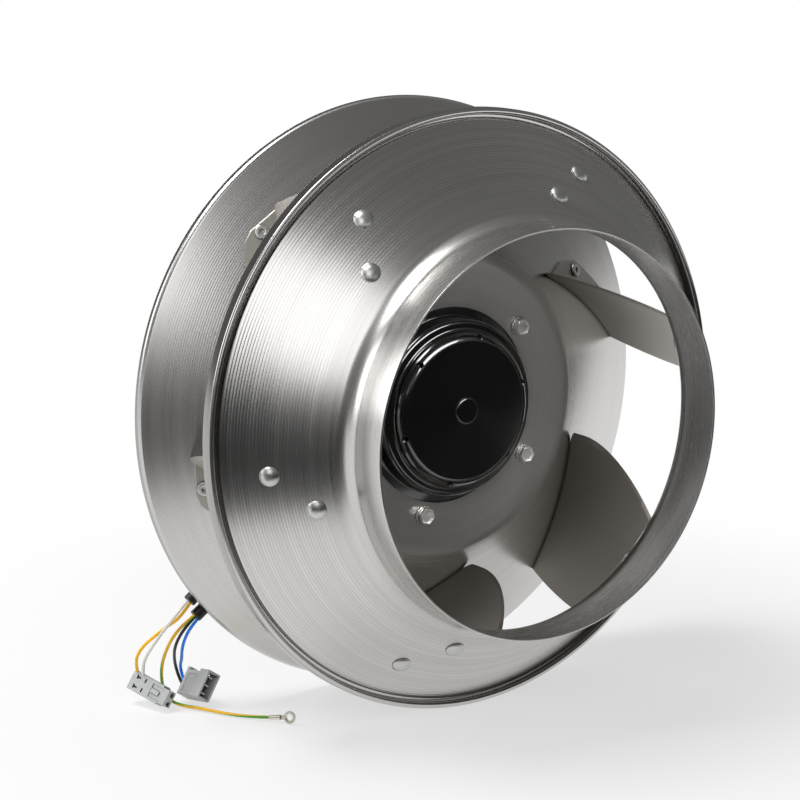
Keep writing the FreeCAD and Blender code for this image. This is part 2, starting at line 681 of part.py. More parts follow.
def make_disc():
    body = new_body("disc_blank")
    metal = D.disc_metal
    back_rise = D.disc_metal * (D.disc_slope * D.disc_slope + 1).root()
    kink_back = D.kink_radius - (back_rise - metal) / D.disc_slope
    rim_inside = D.disc_radius - metal
    rim_edge = disc_front(D.disc_radius) - D.disc_rim_height
    turn(body, [
        (D.hub_hole_radius, D.hub_station),
        (D.kink_radius, D.hub_station),
        (D.disc_radius, disc_front(D.disc_radius)),
        (D.disc_radius, rim_edge),
        (rim_inside, rim_edge),
        (rim_inside, disc_back(rim_inside)),
        (kink_back, D.hub_station - metal),
        (D.hub_hole_radius, D.hub_station - metal),
    ])
    round_rings(body, [
        (D.kink_radius, D.hub_station, D.kink_bend),
        (kink_back, D.hub_station - metal, D.kink_bend - metal),
        (D.disc_radius, disc_front(D.disc_radius), D.disc_bend),
        (rim_inside, disc_back(rim_inside), D.disc_bend - metal),
    ])
    drills = hole_tools(rivet_spots(REAR_RIVETS), rear_rivet_place)
    bolt_drill = rod(D.bolt_radius + D.bolt_fit, 0, D.hub_station.number + HOLE_REACH)
    for bearing in ring_bearings(D.bolt_count, D.bolt_bearing):
        tool = bolt_drill.copy()
        tool.Placement = turned_to(bearing, 0, D.bolt_circle.number)
        drills.add(tool)
    keep("rear_disc", cut_with("disc", body, drills))


# Blades

def loose_sketch(name, upright):
    """A sketch outside any body, flat or standing in the plane of radius and station."""
    sketch = doc.addObject("Sketcher::SketchObject", name)
    if upright:
        sketch.Placement = Placement(ORIGIN, Rotation(Vector(1, 0, 0), 90))
    return sketch


def extrude(name, sketch, height):
    piece = doc.addObject("Part::Extrusion", name)
    piece.Base = sketch
    piece.DirMode = "Custom"
    piece.Dir = AXIS
    piece.Solid = True
    bind(piece, "LengthFwd", height)
    return piece


def revolve(name, sketch):
    piece = doc.addObject("Part::Revolution", name)
    piece.Source = sketch
    piece.Axis = AXIS
    piece.Angle = FULL_TURN
    piece.Solid = True
    return piece


def common(name, first, second):
    piece = doc.addObject("Part::Common", name)
    piece.Base = first
    piece.Tool = second
    return piece


def blade_centre():
    angle = math.radians(D.blade_centre_bearing.number)
    out = D.blade_centre_out.number
    return Vector(out * math.cos(angle), out * math.sin(angle), 0)


def on_blade(radius, inset=0):
    """Point of the first blade's curve at a radius from the axis, set in towards its concave side."""
    arc = D.blade_arc.number - inset
    out = D.blade_centre_out.number
    cosine = (radius ** 2 + out ** 2 - arc ** 2) / (2 * radius * out)
    angle = math.radians(D.blade_centre_bearing.number) + math.acos(cosine)
    return Vector(radius * math.cos(angle), radius * math.sin(angle), 0)


def polar(radius, bearing):
    angle = math.radians(bearing)
    return Vector(radius * math.cos(angle), radius * math.sin(angle), 0)


# The blade's plan runs past the blade at both ends; its outline trims it.
BLADE_OVERRUN = 7

# The rear tab's root is set into the sheet by this share of the metal.
ROOT_INSET = 0.2

# Corners of the two tabs. Each is given from the rivet that it surrounds: steps in radius and bearing.
FRONT_TAB_BY_OUTER_RIVET = [(6, -2.4), (-4, -3.2)]
FRONT_TAB_BY_INNER_RIVET = [(7.4, -8.4), (-9.1, -1.4), (-7.6, 4.1)]
REAR_TAB_BY_INNER_RIVET = [(-7.4, 6.2), (7, 1.5), (12.4, -2.7)]
REAR_TAB_BY_OUTER_RIVET = [(5.5, 4), (6.5, 1)]


def tab_corners(rivet, steps):
    radius, bearing = rivet[0].number, rivet[1].number
    return [polar(radius + out, bearing + swing) for out, swing in steps]


def blade_wall_plan():
    """Plan of the blade's sheet: two concentric arcs, longer than the blade at both ends."""
    metal = D.blade_metal.number
    reach_in = D.nose_radius.number - BLADE_OVERRUN
    reach_out = D.tail_top_radius.number + BLADE_OVERRUN
    reach = (reach_in, (reach_in + reach_out) / 2, reach_out)
    outer = [on_blade(radius) for radius in reach]
    inner = [on_blade(radius, metal) for radius in reach]
    edges = [Part.Arc(*outer).toShape(), Part.LineSegment(outer[2], inner[2]).toShape(),
             Part.Arc(*reversed(inner)).toShape(), Part.LineSegment(inner[0], outer[0]).toShape()]
    return Part.Face(Part.Wire(edges))


def tab_plan(points):
    return Part.Face(Part.makePolygon(points + [points[0]]))


def foot_start():
    """Radius where the blade's rounded leading corner runs into its foot along the disc."""
    return D.nose_radius + D.nose_corner / (D.disc_slope * D.disc_slope + 1).root()


def blade_profile(sketch):
    """Outline of the blade's sheet in radius and station."""
    seam = D.seam
    under = D.blade_gap
    step = D.tab_root_relief
    foot_round = D.nose_corner / ((D.disc_slope * D.disc_slope + 1).root() - D.disc_slope)
    draw_outline(sketch, [
        (D.nose_radius, disc_front(D.nose_radius) + D.nose_corner + seam, foot_round, -1),
        (foot_start(), disc_front(foot_start()) + seam),
        (D.tail_foot_radius, disc_front(D.tail_foot_radius) + seam, D.tail_sweep, -1),
        (D.tail_top_radius, shroud_back(D.tail_top_radius) - under),
        (D.tab_root_outer + step, shroud_back(D.tab_root_outer + step) - under),
        (D.tab_root_outer, shroud_back(D.tab_root_outer) - seam),
        (D.tab_root_inner, shroud_back(D.tab_root_inner) - seam),
        (D.tab_root_inner - step, shroud_back(D.tab_root_inner - step) - under),
        (D.eye_corner_radius, shroud_back(D.eye_corner_radius) - seam, D.nose_sweep, -1),
        (D.nose_radius, D.nose_station),
    ])


def strip_profile(sketch, surface, side, radius_in, radius_out):
    """Outline of a layer of blade sheet that lies on a cone."""
    near = D.seam * side
    far = (D.seam + D.blade_metal) * side
    draw_outline(sketch, [
        (radius_in, surface(radius_in) + near),
        (radius_out, surface(radius_out) + near),
        (radius_out, surface(radius_out) + far),
        (radius_in, surface(radius_in) + far),
    ])


def make_blades():
    tall = D.neck_station.number
    wall = part_feature("blade_wall", blade_wall_plan().extrude(AXIS * tall))
    side_sketch = loose_sketch("blade_side_sketch", upright=True)
    blade_profile(side_sketch)
    sheet_piece = common("blade_sheet", wall, revolve("blade_side", side_sketch))

    metal = D.blade_metal.number
    inner_rivet, outer_rivet = FRONT_RIVETS
    front_points = ([on_blade(D.tab_root_outer.number)]
                    + tab_corners(outer_rivet, FRONT_TAB_BY_OUTER_RIVET)
                    + tab_corners(inner_rivet, FRONT_TAB_BY_INNER_RIVET)
                    + [on_blade(inner_rivet[0].number, metal), on_blade(D.tab_root_inner.number)])
    front_prism = part_feature("front_tab_prism", tab_plan(front_points).extrude(AXIS * tall))
    front_strip = loose_sketch("front_tab_sketch", upright=True)
    strip_profile(front_strip, shroud_back, -1, D.eye_corner_radius, D.tail_top_radius)
    front_tab = common("front_tab", front_prism, revolve("front_tab_layer", front_strip))

    inner_rivet, outer_rivet = REAR_RIVETS
    root_start = foot_start().number
    root_end = D.tail_foot_radius.number - metal
    weld = metal * ROOT_INSET
    rear_points = ([on_blade(root_start, weld)]
                   + tab_corners(inner_rivet, REAR_TAB_BY_INNER_RIVET)
                   + tab_corners(outer_rivet, REAR_TAB_BY_OUTER_RIVET)
                   + [on_blade(root_end, weld), on_blade((root_start + root_end) / 2, weld)])
    rear_prism = part_feature("rear_tab_prism", tab_plan(rear_points).extrude(AXIS * tall))
    rear_strip = loose_sketch("rear_tab_sketch", upright=True)
    strip_profile(rear_strip, disc_front, 1, D.nose_radius, D.tail_top_radius)
    rear_tab = common("rear_tab", rear_prism, revolve("rear_tab_layer", rear_strip))

    whole = doc.addObject("Part::MultiFuse", "blade_whole")
    whole.Shapes = [sheet_piece, front_tab, rear_tab]
    whole.Refine = True
    first_front = [(radius, bearing.number) for radius, bearing in FRONT_RIVETS]
    first_rear = [(radius, bearing.number) for radius, bearing in REAR_RIVETS]
    drills = hole_tools(first_front, front_rivet_place)
    for tool in hole_tools(first_rear, rear_rivet_place).Solids:
        drills.add(tool)
    drill_piece = part_feature("blade_drills", drills)
    for number, bearing in enumerate(blade_bearings(), start=1):
        blade = doc.addObject("Part::Cut", f"blade_{number}_cut")
        blade.Base = whole
        blade.Tool = drill_piece
        blade.Placement = turned_to(bearing)
        keep(f"blade_{number}", blade)


# Rivets

def make_rivets():
    """A semi-tubular rivet: domed head above its seat, clinched hollow tail below the tab."""
    grip_front = D.shroud_metal + D.blade_metal + D.seam * 3
    grip_rear = D.disc_metal + D.blade_metal + D.seam * 3
    for name, grip, spots, place in (
            ("shroud_rivets", grip_front, FRONT_RIVETS, front_rivet_place),
            ("disc_rivets", grip_rear, REAR_RIVETS, rear_rivet_place)):
        body = new_body(f"{name}_one")
        dome = (D.rivet_head_radius * D.rivet_head_radius / D.rivet_head_height + D.rivet_head_height) / 2
        tail = -(grip + D.rivet_tail_height)
        turn(body, [
            (ZERO, D.rivet_head_height + D.seam, dome, 1),
            (D.rivet_head_radius, D.seam),
            (D.rivet_shank_radius, D.seam),
            (D.rivet_shank_radius, -grip),
            (D.rivet_tail_radius, -grip),
            (D.rivet_tail_radius, tail + D.rivet_tail_round),
            (D.rivet_tail_radius - D.rivet_tail_round, tail),
            (D.rivet_bore_radius, tail),
            (D.rivet_bore_radius, -grip),
            (ZERO, -grip),
        ])
        places = [place(radius, bearing) for radius, bearing in rivet_spots(spots)]
        keep(name, group(name, body.Shape, places))


# Hub bolts and washers

def make_hub_bolts():
    hexagon = D.bolt_head_width.number / math.sqrt(3)
    corners = [polar(hexagon, 60 * index) for index in range(7)]
    head = Part.Face(Part.makePolygon(corners)).extrude(AXIS * D.bolt_head_height.number)
    crown = D.bolt_head_width.number / 2
    crown_cone = Part.makeCone(crown + D.bolt_head_height.number * math.sqrt(3), crown,
                               D.bolt_head_height.number)
    head = head.common(crown_cone)
    recess = rod(D.bolt_recess_radius, D.bolt_head_height.number - D.bolt_recess_depth.number,
                 D.bolt_head_height.number + 1)
    bolt = head.cut(recess).fuse(rod(D.bolt_radius, -D.bolt_length.number, 0)).removeSplitter()
    ring = rod(D.washer_radius, 0, D.washer_height.number)
    washer = ring.cut(rod(D.bolt_radius + D.bolt_fit, -1, D.washer_height.number + 1))
    bearings = ring_bearings(D.bolt_count, D.bolt_bearing)
    seat = D.hub_station.number
    under_head = seat + D.washer_height.number
    bolt_places = [turned_to(bearing, 0, D.bolt_circle.number, under_head) for bearing in bearings]
    washer_places = [turned_to(bearing, 0, D.bolt_circle.number, seat) for bearing in bearings]
    keep("hub_bolts", group("hub_bolts", bolt, bolt_places))
    keep("hub_washers", group("hub_washers", washer, washer_places))


# Rotor

def make_rotor():
    body = new_body("rotor_blank")
    wall = D.rotor_metal
    flange_top = D.hub_station - D.disc_metal
    flange_low = flange_top - D.flange_metal
    inside = D.rotor_radius - wall
    step_inside = D.rotor_step_radius - wall
    front_bearing_top = D.front_bearing_start + D.bearing_width
    hub_inner = (D.shaft_radius + D.ball_circle - D.race_lip) / 2
    bore_end = D.rotor_face_station + D.boss_rise - wall / 2
    turn(body, [
        (ZERO, D.rotor_face_station + D.boss_rise),
        (D.boss_radius, D.rotor_face_station + D.boss_rise),
        (D.boss_radius, D.rotor_face_station),
        (D.rotor_step_radius, D.rotor_face_station),
        (D.rotor_step_radius, D.rotor_step_station),
        (D.rotor_radius, D.rotor_step_station),
        (D.rotor_radius, flange_top),
        (D.flange_radius, flange_top),
        (D.flange_radius, flange_low),
        (D.rotor_radius, flange_low),
        (D.rotor_radius, D.rotor_tail_station),
        (inside, D.rotor_tail_station),
        (inside, D.rotor_step_station - wall),
        (step_inside, D.rotor_step_station - wall),
        (step_inside, D.rotor_face_station - wall),
        (hub_inner, D.rotor_face_station - wall),
        (hub_inner, front_bearing_top + D.seam),
        (D.shaft_radius + D.shaft_fit, front_bearing_top + D.seam),
        (D.shaft_radius + D.shaft_fit, bore_end),
        (ZERO, bore_end),
    ])
    round_rings(body, [
        (D.rotor_step_radius, D.rotor_face_station, D.rotor_edge_round),
        (D.rotor_radius, D.rotor_step_station, D.rotor_shoulder_round),
        (D.boss_radius, D.rotor_face_station + D.boss_rise, D.boss_round),
    ])
    collar = raise_profile(
        body, lambda sketch: draw_polar_circle(sketch, D.bolt_circle, D.bolt_bearing, D.collar_radius),
        flange_low - D.collar_height, D.collar_height)
    repeat_round(body, collar, D.bolt_count)
    hole = raise_profile(
        body, lambda sketch: draw_polar_circle(sketch, D.bolt_circle, D.bolt_bearing,
                                               D.bolt_radius + D.thread_fit),
        flange_low - D.collar_height, D.collar_height + D.flange_metal, cut=True)
    repeat_round(body, hole, D.bolt_count)
    dimple = raise_profile(
        body, lambda sketch: draw_polar_circle(sketch, D.dimple_circle, D.dimple_bearing, D.dimple_radius),
        D.rotor_face_station - D.dimple_depth, D.dimple_depth + D.boss_rise, cut=True)
    repeat_round(body, dimple, D.rotor_dimples)
    keep("rotor_cup", body)


def draw_polar_circle(sketch, out, bearing, radius):
    """A circle at a distance and bearing from the axis."""
    angle = math.radians(bearing.number)
    across = Size(out.number * math.sin(angle), f"({out.formula} * sin({bearing.formula}))")
    along = Size(out.number * math.cos(angle), f"({out.formula} * cos({bearing.formula}))")
    draw_circle(sketch, along, across, radius)


def arc_sector(radius_in, radius_out, sweep, low, high):
    """A curved block between two radii, centred on bearing 0."""
    block = Part.makeCylinder(radius_out, high - low, Vector(0, 0, low), AXIS, sweep)
    core = Part.makeCylinder(radius_in, high - low, Vector(0, 0, low), AXIS, sweep)
    block = block.cut(core)
    block.rotate(ORIGIN, AXIS, -sweep / 2)
    return block


def make_magnets():
    outside = D.rotor_radius.number - D.rotor_metal.number - D.bond_gap.number
    inside = outside - D.magnet_thickness.number
    sweep = FULL_TURN / D.magnet_count.number - D.magnet_gap.number
    low = D.magnet_start.number
    magnet = arc_sector(inside, outside, sweep, low, low + D.magnet_length.number)
    places = [turned_to(bearing) for bearing in ring_bearings(D.magnet_count, ZERO)]
    keep("rotor_magnets", group("rotor_magnets", magnet, places))


# Shaft, bearings and their small rings

def make_shaft():
    body = new_body("rotor_shaft")
    top = D.rotor_face_station + D.boss_rise - D.rotor_metal / 2 - D.seam
    groove = D.shaft_radius - D.circlip_groove
    low = D.circlip_start - D.seam / 2
    high = D.circlip_start + D.circlip_thickness + D.seam / 2
    turn(body, [
        (ZERO, D.shaft_start),
        (D.shaft_radius, D.shaft_start),
        (D.shaft_radius, low),
        (groove, low),
        (groove, high),
        (D.shaft_radius, high),
        (D.shaft_radius, top),
        (ZERO, top),
    ])
    keep("rotor_shaft", body)

    ring = rod(D.circlip_radius, D.circlip_start.number, (D.circlip_start + D.circlip_thickness).number)
    bore = rod(groove + D.shaft_fit, 0, D.hub_station.number)
    gap_width = D.shaft_radius.number / 2
    slot = Part.makeBox(D.circlip_radius.number * 2, gap_width, D.hub_station.number,
                        Vector(0, -gap_width / 2, 0))
    keep("shaft_circlip", part_feature("shaft_circlip", ring.cut(bore).cut(slot)))


def make_bearing(prefix, start):
    """A deep-groove ball bearing: two rings, the balls and their cage."""
    middle = start + D.bearing_width / 2
    top = start + D.bearing_width
    track = Part.makeTorus(D.ball_circle.number, (D.ball_radius + D.ball_play).number,
                           Vector(0, 0, middle.number))
    rings = (
        ("inner_ring", D.shaft_radius + D.shaft_fit, D.ball_circle - D.race_lip),
        ("outer_ring", D.ball_circle + D.race_lip, D.bearing_radius - D.shaft_fit),
    )
    for suffix, inside, outside in rings:
        name = f"{prefix}_{suffix}"
        ring = rod(outside, start.number, top.number).cut(rod(inside, start.number - 1, top.number + 1))
        keep(name, part_feature(name, ring.cut(track)))
    ball = Part.makeSphere(D.ball_radius.number)
    bearings = ring_bearings(D.ball_count, ZERO)
    seats = [turned_to(bearing, 0, D.ball_circle.number, middle.number) for bearing in bearings]
    keep(f"{prefix}_balls", group(f"{prefix}_balls", ball, seats))
    half = D.cage_height.number / 2
    cage = rod(D.ball_circle + D.cage_thickness, middle.number - half, middle.number + half)
    cage = cage.cut(rod(D.ball_circle - D.cage_thickness, 0, top.number + 1))
    for seat in seats:
        pocket = Part.makeSphere((D.ball_radius + D.ball_play).number)
        pocket.Placement = seat
        cage = cage.cut(pocket)
    keep(f"{prefix}_cage", part_feature(f"{prefix}_cage", cage))


POINTS_PER_WAVE = 16


def make_spring():
    """Wave washer between the tube's shoulder and the front bearing's outer ring."""
    outer = D.bearing_radius.number - D.seam.number * 2
    inner = outer - D.spring_width.number
    top = D.front_bearing_start.number - D.seam.number / 2
    middle = top - D.spring_wave.number / 2 - D.spring_thickness.number
    steps = int(D.spring_waves.number) * POINTS_PER_WAVE

    def crest(bearing):
        return middle + D.spring_wave.number / 2 * math.sin(math.radians(D.spring_waves.number * bearing))

    paths = []
    for radius in (inner, outer):
        points = []
        for index in range(steps):
            bearing = FULL_TURN / steps * index
            points.append(polar(radius, bearing) + Vector(0, 0, crest(bearing)))
        curve = Part.BSplineCurve()
        curve.interpolate(points, PeriodicFlag=True)
        paths.append(Part.Wire(curve.toShape()))
    face = Part.makeRuledSurface(paths[0], paths[1])
    washer = face.extrude(AXIS * D.spring_thickness.number)
    solid = washer if washer.ShapeType == "Solid" else Part.Solid(Part.Shell(washer.Faces))
    keep("preload_spring", part_feature("preload_spring", solid))


# Stator pot with its bearing tube

def make_pot():
    body = new_body("stator_pot")
    ledge = D.pot_height - D.cover_thickness
    ledge_radius = D.pot_radius - D.pot_wall - D.cover_ledge
    front_seat = D.front_bearing_start - D.spring_thickness - D.spring_wave - D.seam * 2
    tube_inner = D.bearing_radius - D.seat_step
    turn(body, [
        (ZERO, ZERO),
        (D.pot_radius, ZERO),
        (D.pot_radius, D.pot_height),
        (D.pot_radius - D.pot_wall, D.pot_height),
        (D.pot_radius - D.pot_wall, ledge),
        (ledge_radius, ledge),
        (ledge_radius, D.pot_plate),
        (D.tube_radius, D.pot_plate),
        (D.tube_radius, D.tube_top),
        (D.bearing_radius, D.tube_top),
        (D.bearing_radius, front_seat),
        (tube_inner, front_seat),
        (tube_inner, D.rear_bearing_start + D.bearing_width),
        (D.bearing_radius, D.rear_bearing_start + D.bearing_width),
        (D.bearing_radius, D.rear_bearing_start),
        (D.tube_bore, D.rear_bearing_start),
        (D.tube_bore, D.pot_plate),
        (ZERO, D.pot_plate),
    ])
    turn(body, [
        (D.recess_inner, ZERO),
        (D.recess_outer, ZERO),
        (D.recess_outer, D.recess_depth),
        (D.recess_inner, D.recess_depth),
    ], cut=True)

    half_fin = D.fin_width / 2
    fin_bearing = D.entry_bearing.number + (FULL_TURN - D.fin_arc.number) / 2

    def draw_fin(sketch):
        # The first fin is drawn on the X axis and turned to its bearing by the sketch's offset.
        draw_outline(sketch, [
            (D.pot_radius - D.pot_wall / 2, -half_fin),
            (D.fin_radius, -half_fin),
            (D.fin_radius, half_fin),
            (D.pot_radius - D.pot_wall / 2, half_fin),
        ])
        sketch.AttachmentOffset = Placement(ORIGIN, Rotation(AXIS, fin_bearing))

    fin = raise_profile(body, draw_fin, ZERO, D.fin_height)
    repeat_round(body, fin, D.fin_count, D.fin_arc)

    def draw_entry(sketch):
        half = D.entry_width / 2
        draw_outline(sketch, [(D.entry_start, -half), (D.entry_reach, -half),
                              (D.entry_reach, half), (D.entry_start, half)])
        sketch.AttachmentOffset = Placement(ORIGIN, Rotation(AXIS, D.entry_bearing.number))

    raise_profile(body, draw_entry, ZERO, D.entry_height)

    boss = raise_profile(
        body, lambda sketch: draw_polar_circle(sketch, D.mount_circle, D.mount_bearing, D.mount_boss_radius),
        D.pot_plate, D.mount_boss_height - D.pot_plate)
    repeat_round(body, boss, D.mount_count)
    hole = raise_profile(
        body, lambda sketch: draw_polar_circle(sketch, D.mount_circle, D.mount_bearing, D.mount_hole_radius),
        ZERO, D.mount_hole_depth, cut=True)
    repeat_round(body, hole, D.mount_count)
    post = raise_profile(
        body, lambda sketch: draw_circle(sketch, D.post_circle, ZERO, D.post_radius),
        D.pot_plate, D.board_station - D.pot_plate)
    repeat_round(body, post, D.mount_count)
    post_hole = raise_profile(
        body, lambda sketch: draw_circle(sketch, D.post_circle, ZERO, D.post_hole_radius + D.thread_fit),
        D.board_station - D.board_screw_length, D.board_screw_length, cut=True)
    repeat_round(body, post_hole, D.mount_count)
    drills = Part.makeCompound([
        placed(rod(D.gland_neck_radius + D.gland_fit, D.entry_start.number - D.pot_wall.number,
                   D.entry_reach.number + D.gland_length.number), place)
        for place in gland_places()])
    keep("stator_pot", cut_with("stator_pot", body, drills))


def placed(shape, place):
    copy = shape.copy()
    copy.Placement = place.multiply(copy.Placement)
    return copy


def gland_places():
    """Axes of the two glands: local Z points out of the pot, side by side."""
    places = []
    for side in (-1, 1):
        across = D.gland_spacing.number / 2 * side
        swing = Placement(ORIGIN, Rotation(AXIS, D.entry_bearing.number))
        shift = Placement(Vector(0, across, D.gland_station.number), Rotation(Vector(0, 1, 0), 90))
        places.append(swing.multiply(shift))
    return places


def make_glands():
    body = new_body("gland_one")
    bore = D.sheath_diameter / 2 + D.gland_fit
    face = D.entry_reach + D.seam
    collar = face + D.gland_collar_height
    tip = face + D.gland_length
    turn(body, [
        (bore, D.entry_start),
        (D.gland_neck_radius, D.entry_start),
        (D.gland_neck_radius, face),
        (D.gland_collar_radius, face),
        (D.gland_collar_radius, collar),
        (D.gland_root_radius, collar),
        (D.gland_tip_radius, tip),
        (bore, tip),
    ])
    for name, place in zip(("control_gland", "power_gland"), gland_places()):
        keep(name, part_feature(name, placed(body.Shape, place)))


# Electronics

def standing_box(length, width, height):
    """A box that stands on the origin."""
    return box_at(length.number, width.number, height, Vector(0, 0, height / 2))


def make_electronics():
    body = new_body("control_board")
    turn(body, [
        (D.board_inner, D.board_station + D.seam),
        (D.board_outer, D.board_station + D.seam),
        (D.board_outer, D.board_station + D.seam + D.board_thickness),
        (D.board_inner, D.board_station + D.seam + D.board_thickness),
    ])
    hole = raise_profile(
        body, lambda sketch: draw_circle(sketch, D.post_circle, ZERO, D.post_hole_radius + D.bolt_fit),
        D.board_station, D.board_thickness + 1, cut=True)
    repeat_round(body, hole, D.mount_count)
    keep("control_board", body)

    board_top = (D.board_station + D.seam + D.board_thickness).number
    room = (D.pot_height - D.cover_thickness - D.component_room).number - board_top
    can = Part.makeCylinder(D.capacitor_radius.number, room)
    choke = standing_box(D.choke_length, D.choke_width, room)
    relay = standing_box(D.relay_length, D.relay_width, room)
    chip = standing_box(D.chip_width, D.chip_width, D.chip_height.number)
    layout = ((can, 30), (can, 52), (relay, 110), (choke, 150), (chip, 205), (chip, 240), (can, 290),
              (relay, 325))
    parts = [placed(shape, turned_to(bearing, 0, D.component_circle.number, board_top + D.seam.number))
             for shape, bearing in layout]
    keep("board_components", part_feature("board_components", Part.makeCompound(parts)))

    screw_body = new_body("board_screw_one")
    turn(screw_body, [
        (ZERO, -D.board_screw_length + D.board_thickness),
        (D.post_hole_radius, -D.board_screw_length + D.board_thickness),
        (D.post_hole_radius, D.seam),
        (D.board_screw_head, D.seam),
        (D.board_screw_head, D.board_screw_head_height),
        (ZERO, D.board_screw_head_height),
    ])
    places = [turned_to(bearing, 0, D.post_circle.number, board_top)
              for bearing in ring_bearings(D.mount_count, ZERO)]
    keep("board_screws", group("board_screws", screw_body.Shape, places))

    cover = new_body("board_cover")
    low = D.pot_height - D.cover_thickness + D.seam
    turn(cover, [
        (D.tube_radius + D.cover_fit, low),
        (D.pot_radius - D.pot_wall - D.cover_fit, low),
        (D.pot_radius - D.pot_wall - D.cover_fit, D.pot_height),
        (D.tube_radius + D.cover_fit, D.pot_height),
    ])
    keep("board_cover", cover)


# Stator core, insulation and windings

def toothed_disc(name, low, height, grow):
    """Yoke, teeth and shoes as one flat shape; grow makes the insulation stand a little proud."""
    bore = (D.tube_radius + D.shaft_fit).number
    yoke = Part.makeCylinder(D.core_yoke_radius.number, height, Vector(0, 0, low))
    tooth_out = D.core_radius.number - 1
    width = D.tooth_width.number + grow
    tooth = Part.makeBox(tooth_out - bore, width, height, Vector(bore, -width / 2, low))
    shoe_in = D.core_radius.number - D.shoe_depth.number
    shoe = Part.makeBox(D.shoe_depth.number + 2, D.shoe_width.number, height,
                        Vector(shoe_in, -D.shoe_width.number / 2, low))
    rim = Part.makeCylinder(D.core_radius.number, height, Vector(0, 0, low))
    blank = tooth.fuse(shoe.common(rim))
    whole = yoke
    for bearing in ring_bearings(D.tooth_count, ZERO):
        whole = whole.fuse(placed(blank, turned_to(bearing)))
    whole = whole.cut(Part.makeCylinder(bore, height + 2, Vector(0, 0, low - 1)))
    return whole.removeSplitter()


def make_stator():
    low = D.core_start.number
    high = low + D.core_length.number
    skin = D.insulator_thickness.number
    keep("stator_core", part_feature("stator_core", toothed_disc("core", low, high - low, 0)))
    ends = [toothed_disc("end", low - skin - D.seam.number, skin, 0),
            toothed_disc("end", high + D.seam.number, skin, 0)]
    keep("core_insulators", part_feature("core_insulators", Part.makeCompound(ends)))

    reach = skin + D.seam.number + D.coil_gap.number
    depth = D.coil_outer.number - D.coil_inner.number
    window = D.tooth_width.number / 2 + D.coil_gap.number
    over = D.coil_overhang.number
    outer = Part.makeBox(depth, D.coil_width.number, high - low + 2 * (reach + over),
                         Vector(D.coil_inner.number, -D.coil_width.number / 2, low - reach - over))
    inner = Part.makeBox(depth + 2, window * 2, high - low + 2 * reach,
                         Vector(D.coil_inner.number - 1, -window, low - reach))
    long_edges = [edge for edge in outer.Edges
                  if abs(edge.tangentAt(edge.FirstParameter).x) > 0.99]
    outer = outer.makeFillet(D.coil_round.number, long_edges)
    coil = outer.cut(inner)
    places = [turned_to(bearing) for bearing in ring_bearings(D.tooth_count, ZERO)]
    keep("stator_windings", group("stator_windings", coil, places))


# Cables and conductors

def cord_path(points):
    """Straight runs joined by tangent arcs, each as large as its two runs allow."""
    edges = []
    radii = []
    start = points[0]
    for before, corner, after in zip(points, points[1:], points[2:]):
        arrive = (corner - before)
        leave = (after - corner)
        half_turn = arrive.getAngle(leave) / 2
        setback = ARC_SHARE * min(arrive.Length, leave.Length)
        radius = setback / math.tan(half_turn)
        radii.append(radius)
        arc_start = corner - arrive.normalize() * setback
        arc_end = corner + leave.normalize() * setback
        inward = (leave - arrive).normalize()
        sag = radius / math.cos(half_turn) - radius
        edges.append(Part.LineSegment(start, arc_start).toShape())
        edges.append(Part.Arc(arc_start, corner + inward * sag, arc_end).toShape())
        start = arc_end
    edges.append(Part.LineSegment(start, points[-1]).toShape())
    return Part.Wire(edges), radii


def make_cord(name, diameter):
    """A cord's tube along its route, checked by volume."""
    points = [Vector(*point) for point in CORD_ROUTES[name]]
    path, radii = cord_path(points)
    along = (points[1] - points[0]).normalize()
    ring = Part.Wire(Part.makeCircle(diameter.number / 2, points[0], along))
    tube = path.makePipeShell([ring], True, False)
    expected = math.pi * (diameter.number / 2) ** 2 * path.Length
    if abs(tube.Volume / expected - 1) > 0.01:
        raise RuntimeError(f"{name}: tube volume {tube.Volume:.1f}, expected {expected:.1f}")
    tightest = min(radii)
    print(f"{name}: length {path.Length:.1f} mm, radii "
          + " ".join(f"{radius:.1f}" for radius in radii)
          + f", tightest {tightest / diameter.number:.1f} diameters")
    keep(name, part_feature(name, tube), standing=False)
    return points


def facing(direction):
    """Rotation that takes the local Z to a direction."""
    return Rotation(AXIS, direction)


def make_cables():
    for name, sleeve_name in (("control_cable", "control_sleeve"), ("power_cable", "power_sleeve")):
        points = make_cord(name, D.sheath_diameter)
        along = points[-1] - points[-2]
        sleeve = rod(D.sleeve_diameter / 2, 0, D.sleeve_length.number)
        rim = [edge for edge in sleeve.Edges if isinstance(edge.Curve, Part.Circle)]
        sleeve = sleeve.makeChamfer(D.sleeve_bevel.number, rim)
        keep(sleeve_name, part_feature(sleeve_name, sleeve, Placement(points[-1], facing(along))),
             standing=False)
    for name in ("white_core", "yellow_core", "earth_core", "black_core", "blue_core"):
        make_cord(name, D.core_diameter)


# Connectors and earth lug

def lying(centre, length, width):
    """Placement of a loose piece from its centre and the directions of its length and width."""
    return Placement(centre, Rotation(length, width, length.cross(width), "XYZ"))


def box_at(length, width, height, centre):
    corner = Vector(centre.x - length / 2, centre.y - width / 2, centre.z - height / 2)
    return Part.makeBox(length, width, height, corner)


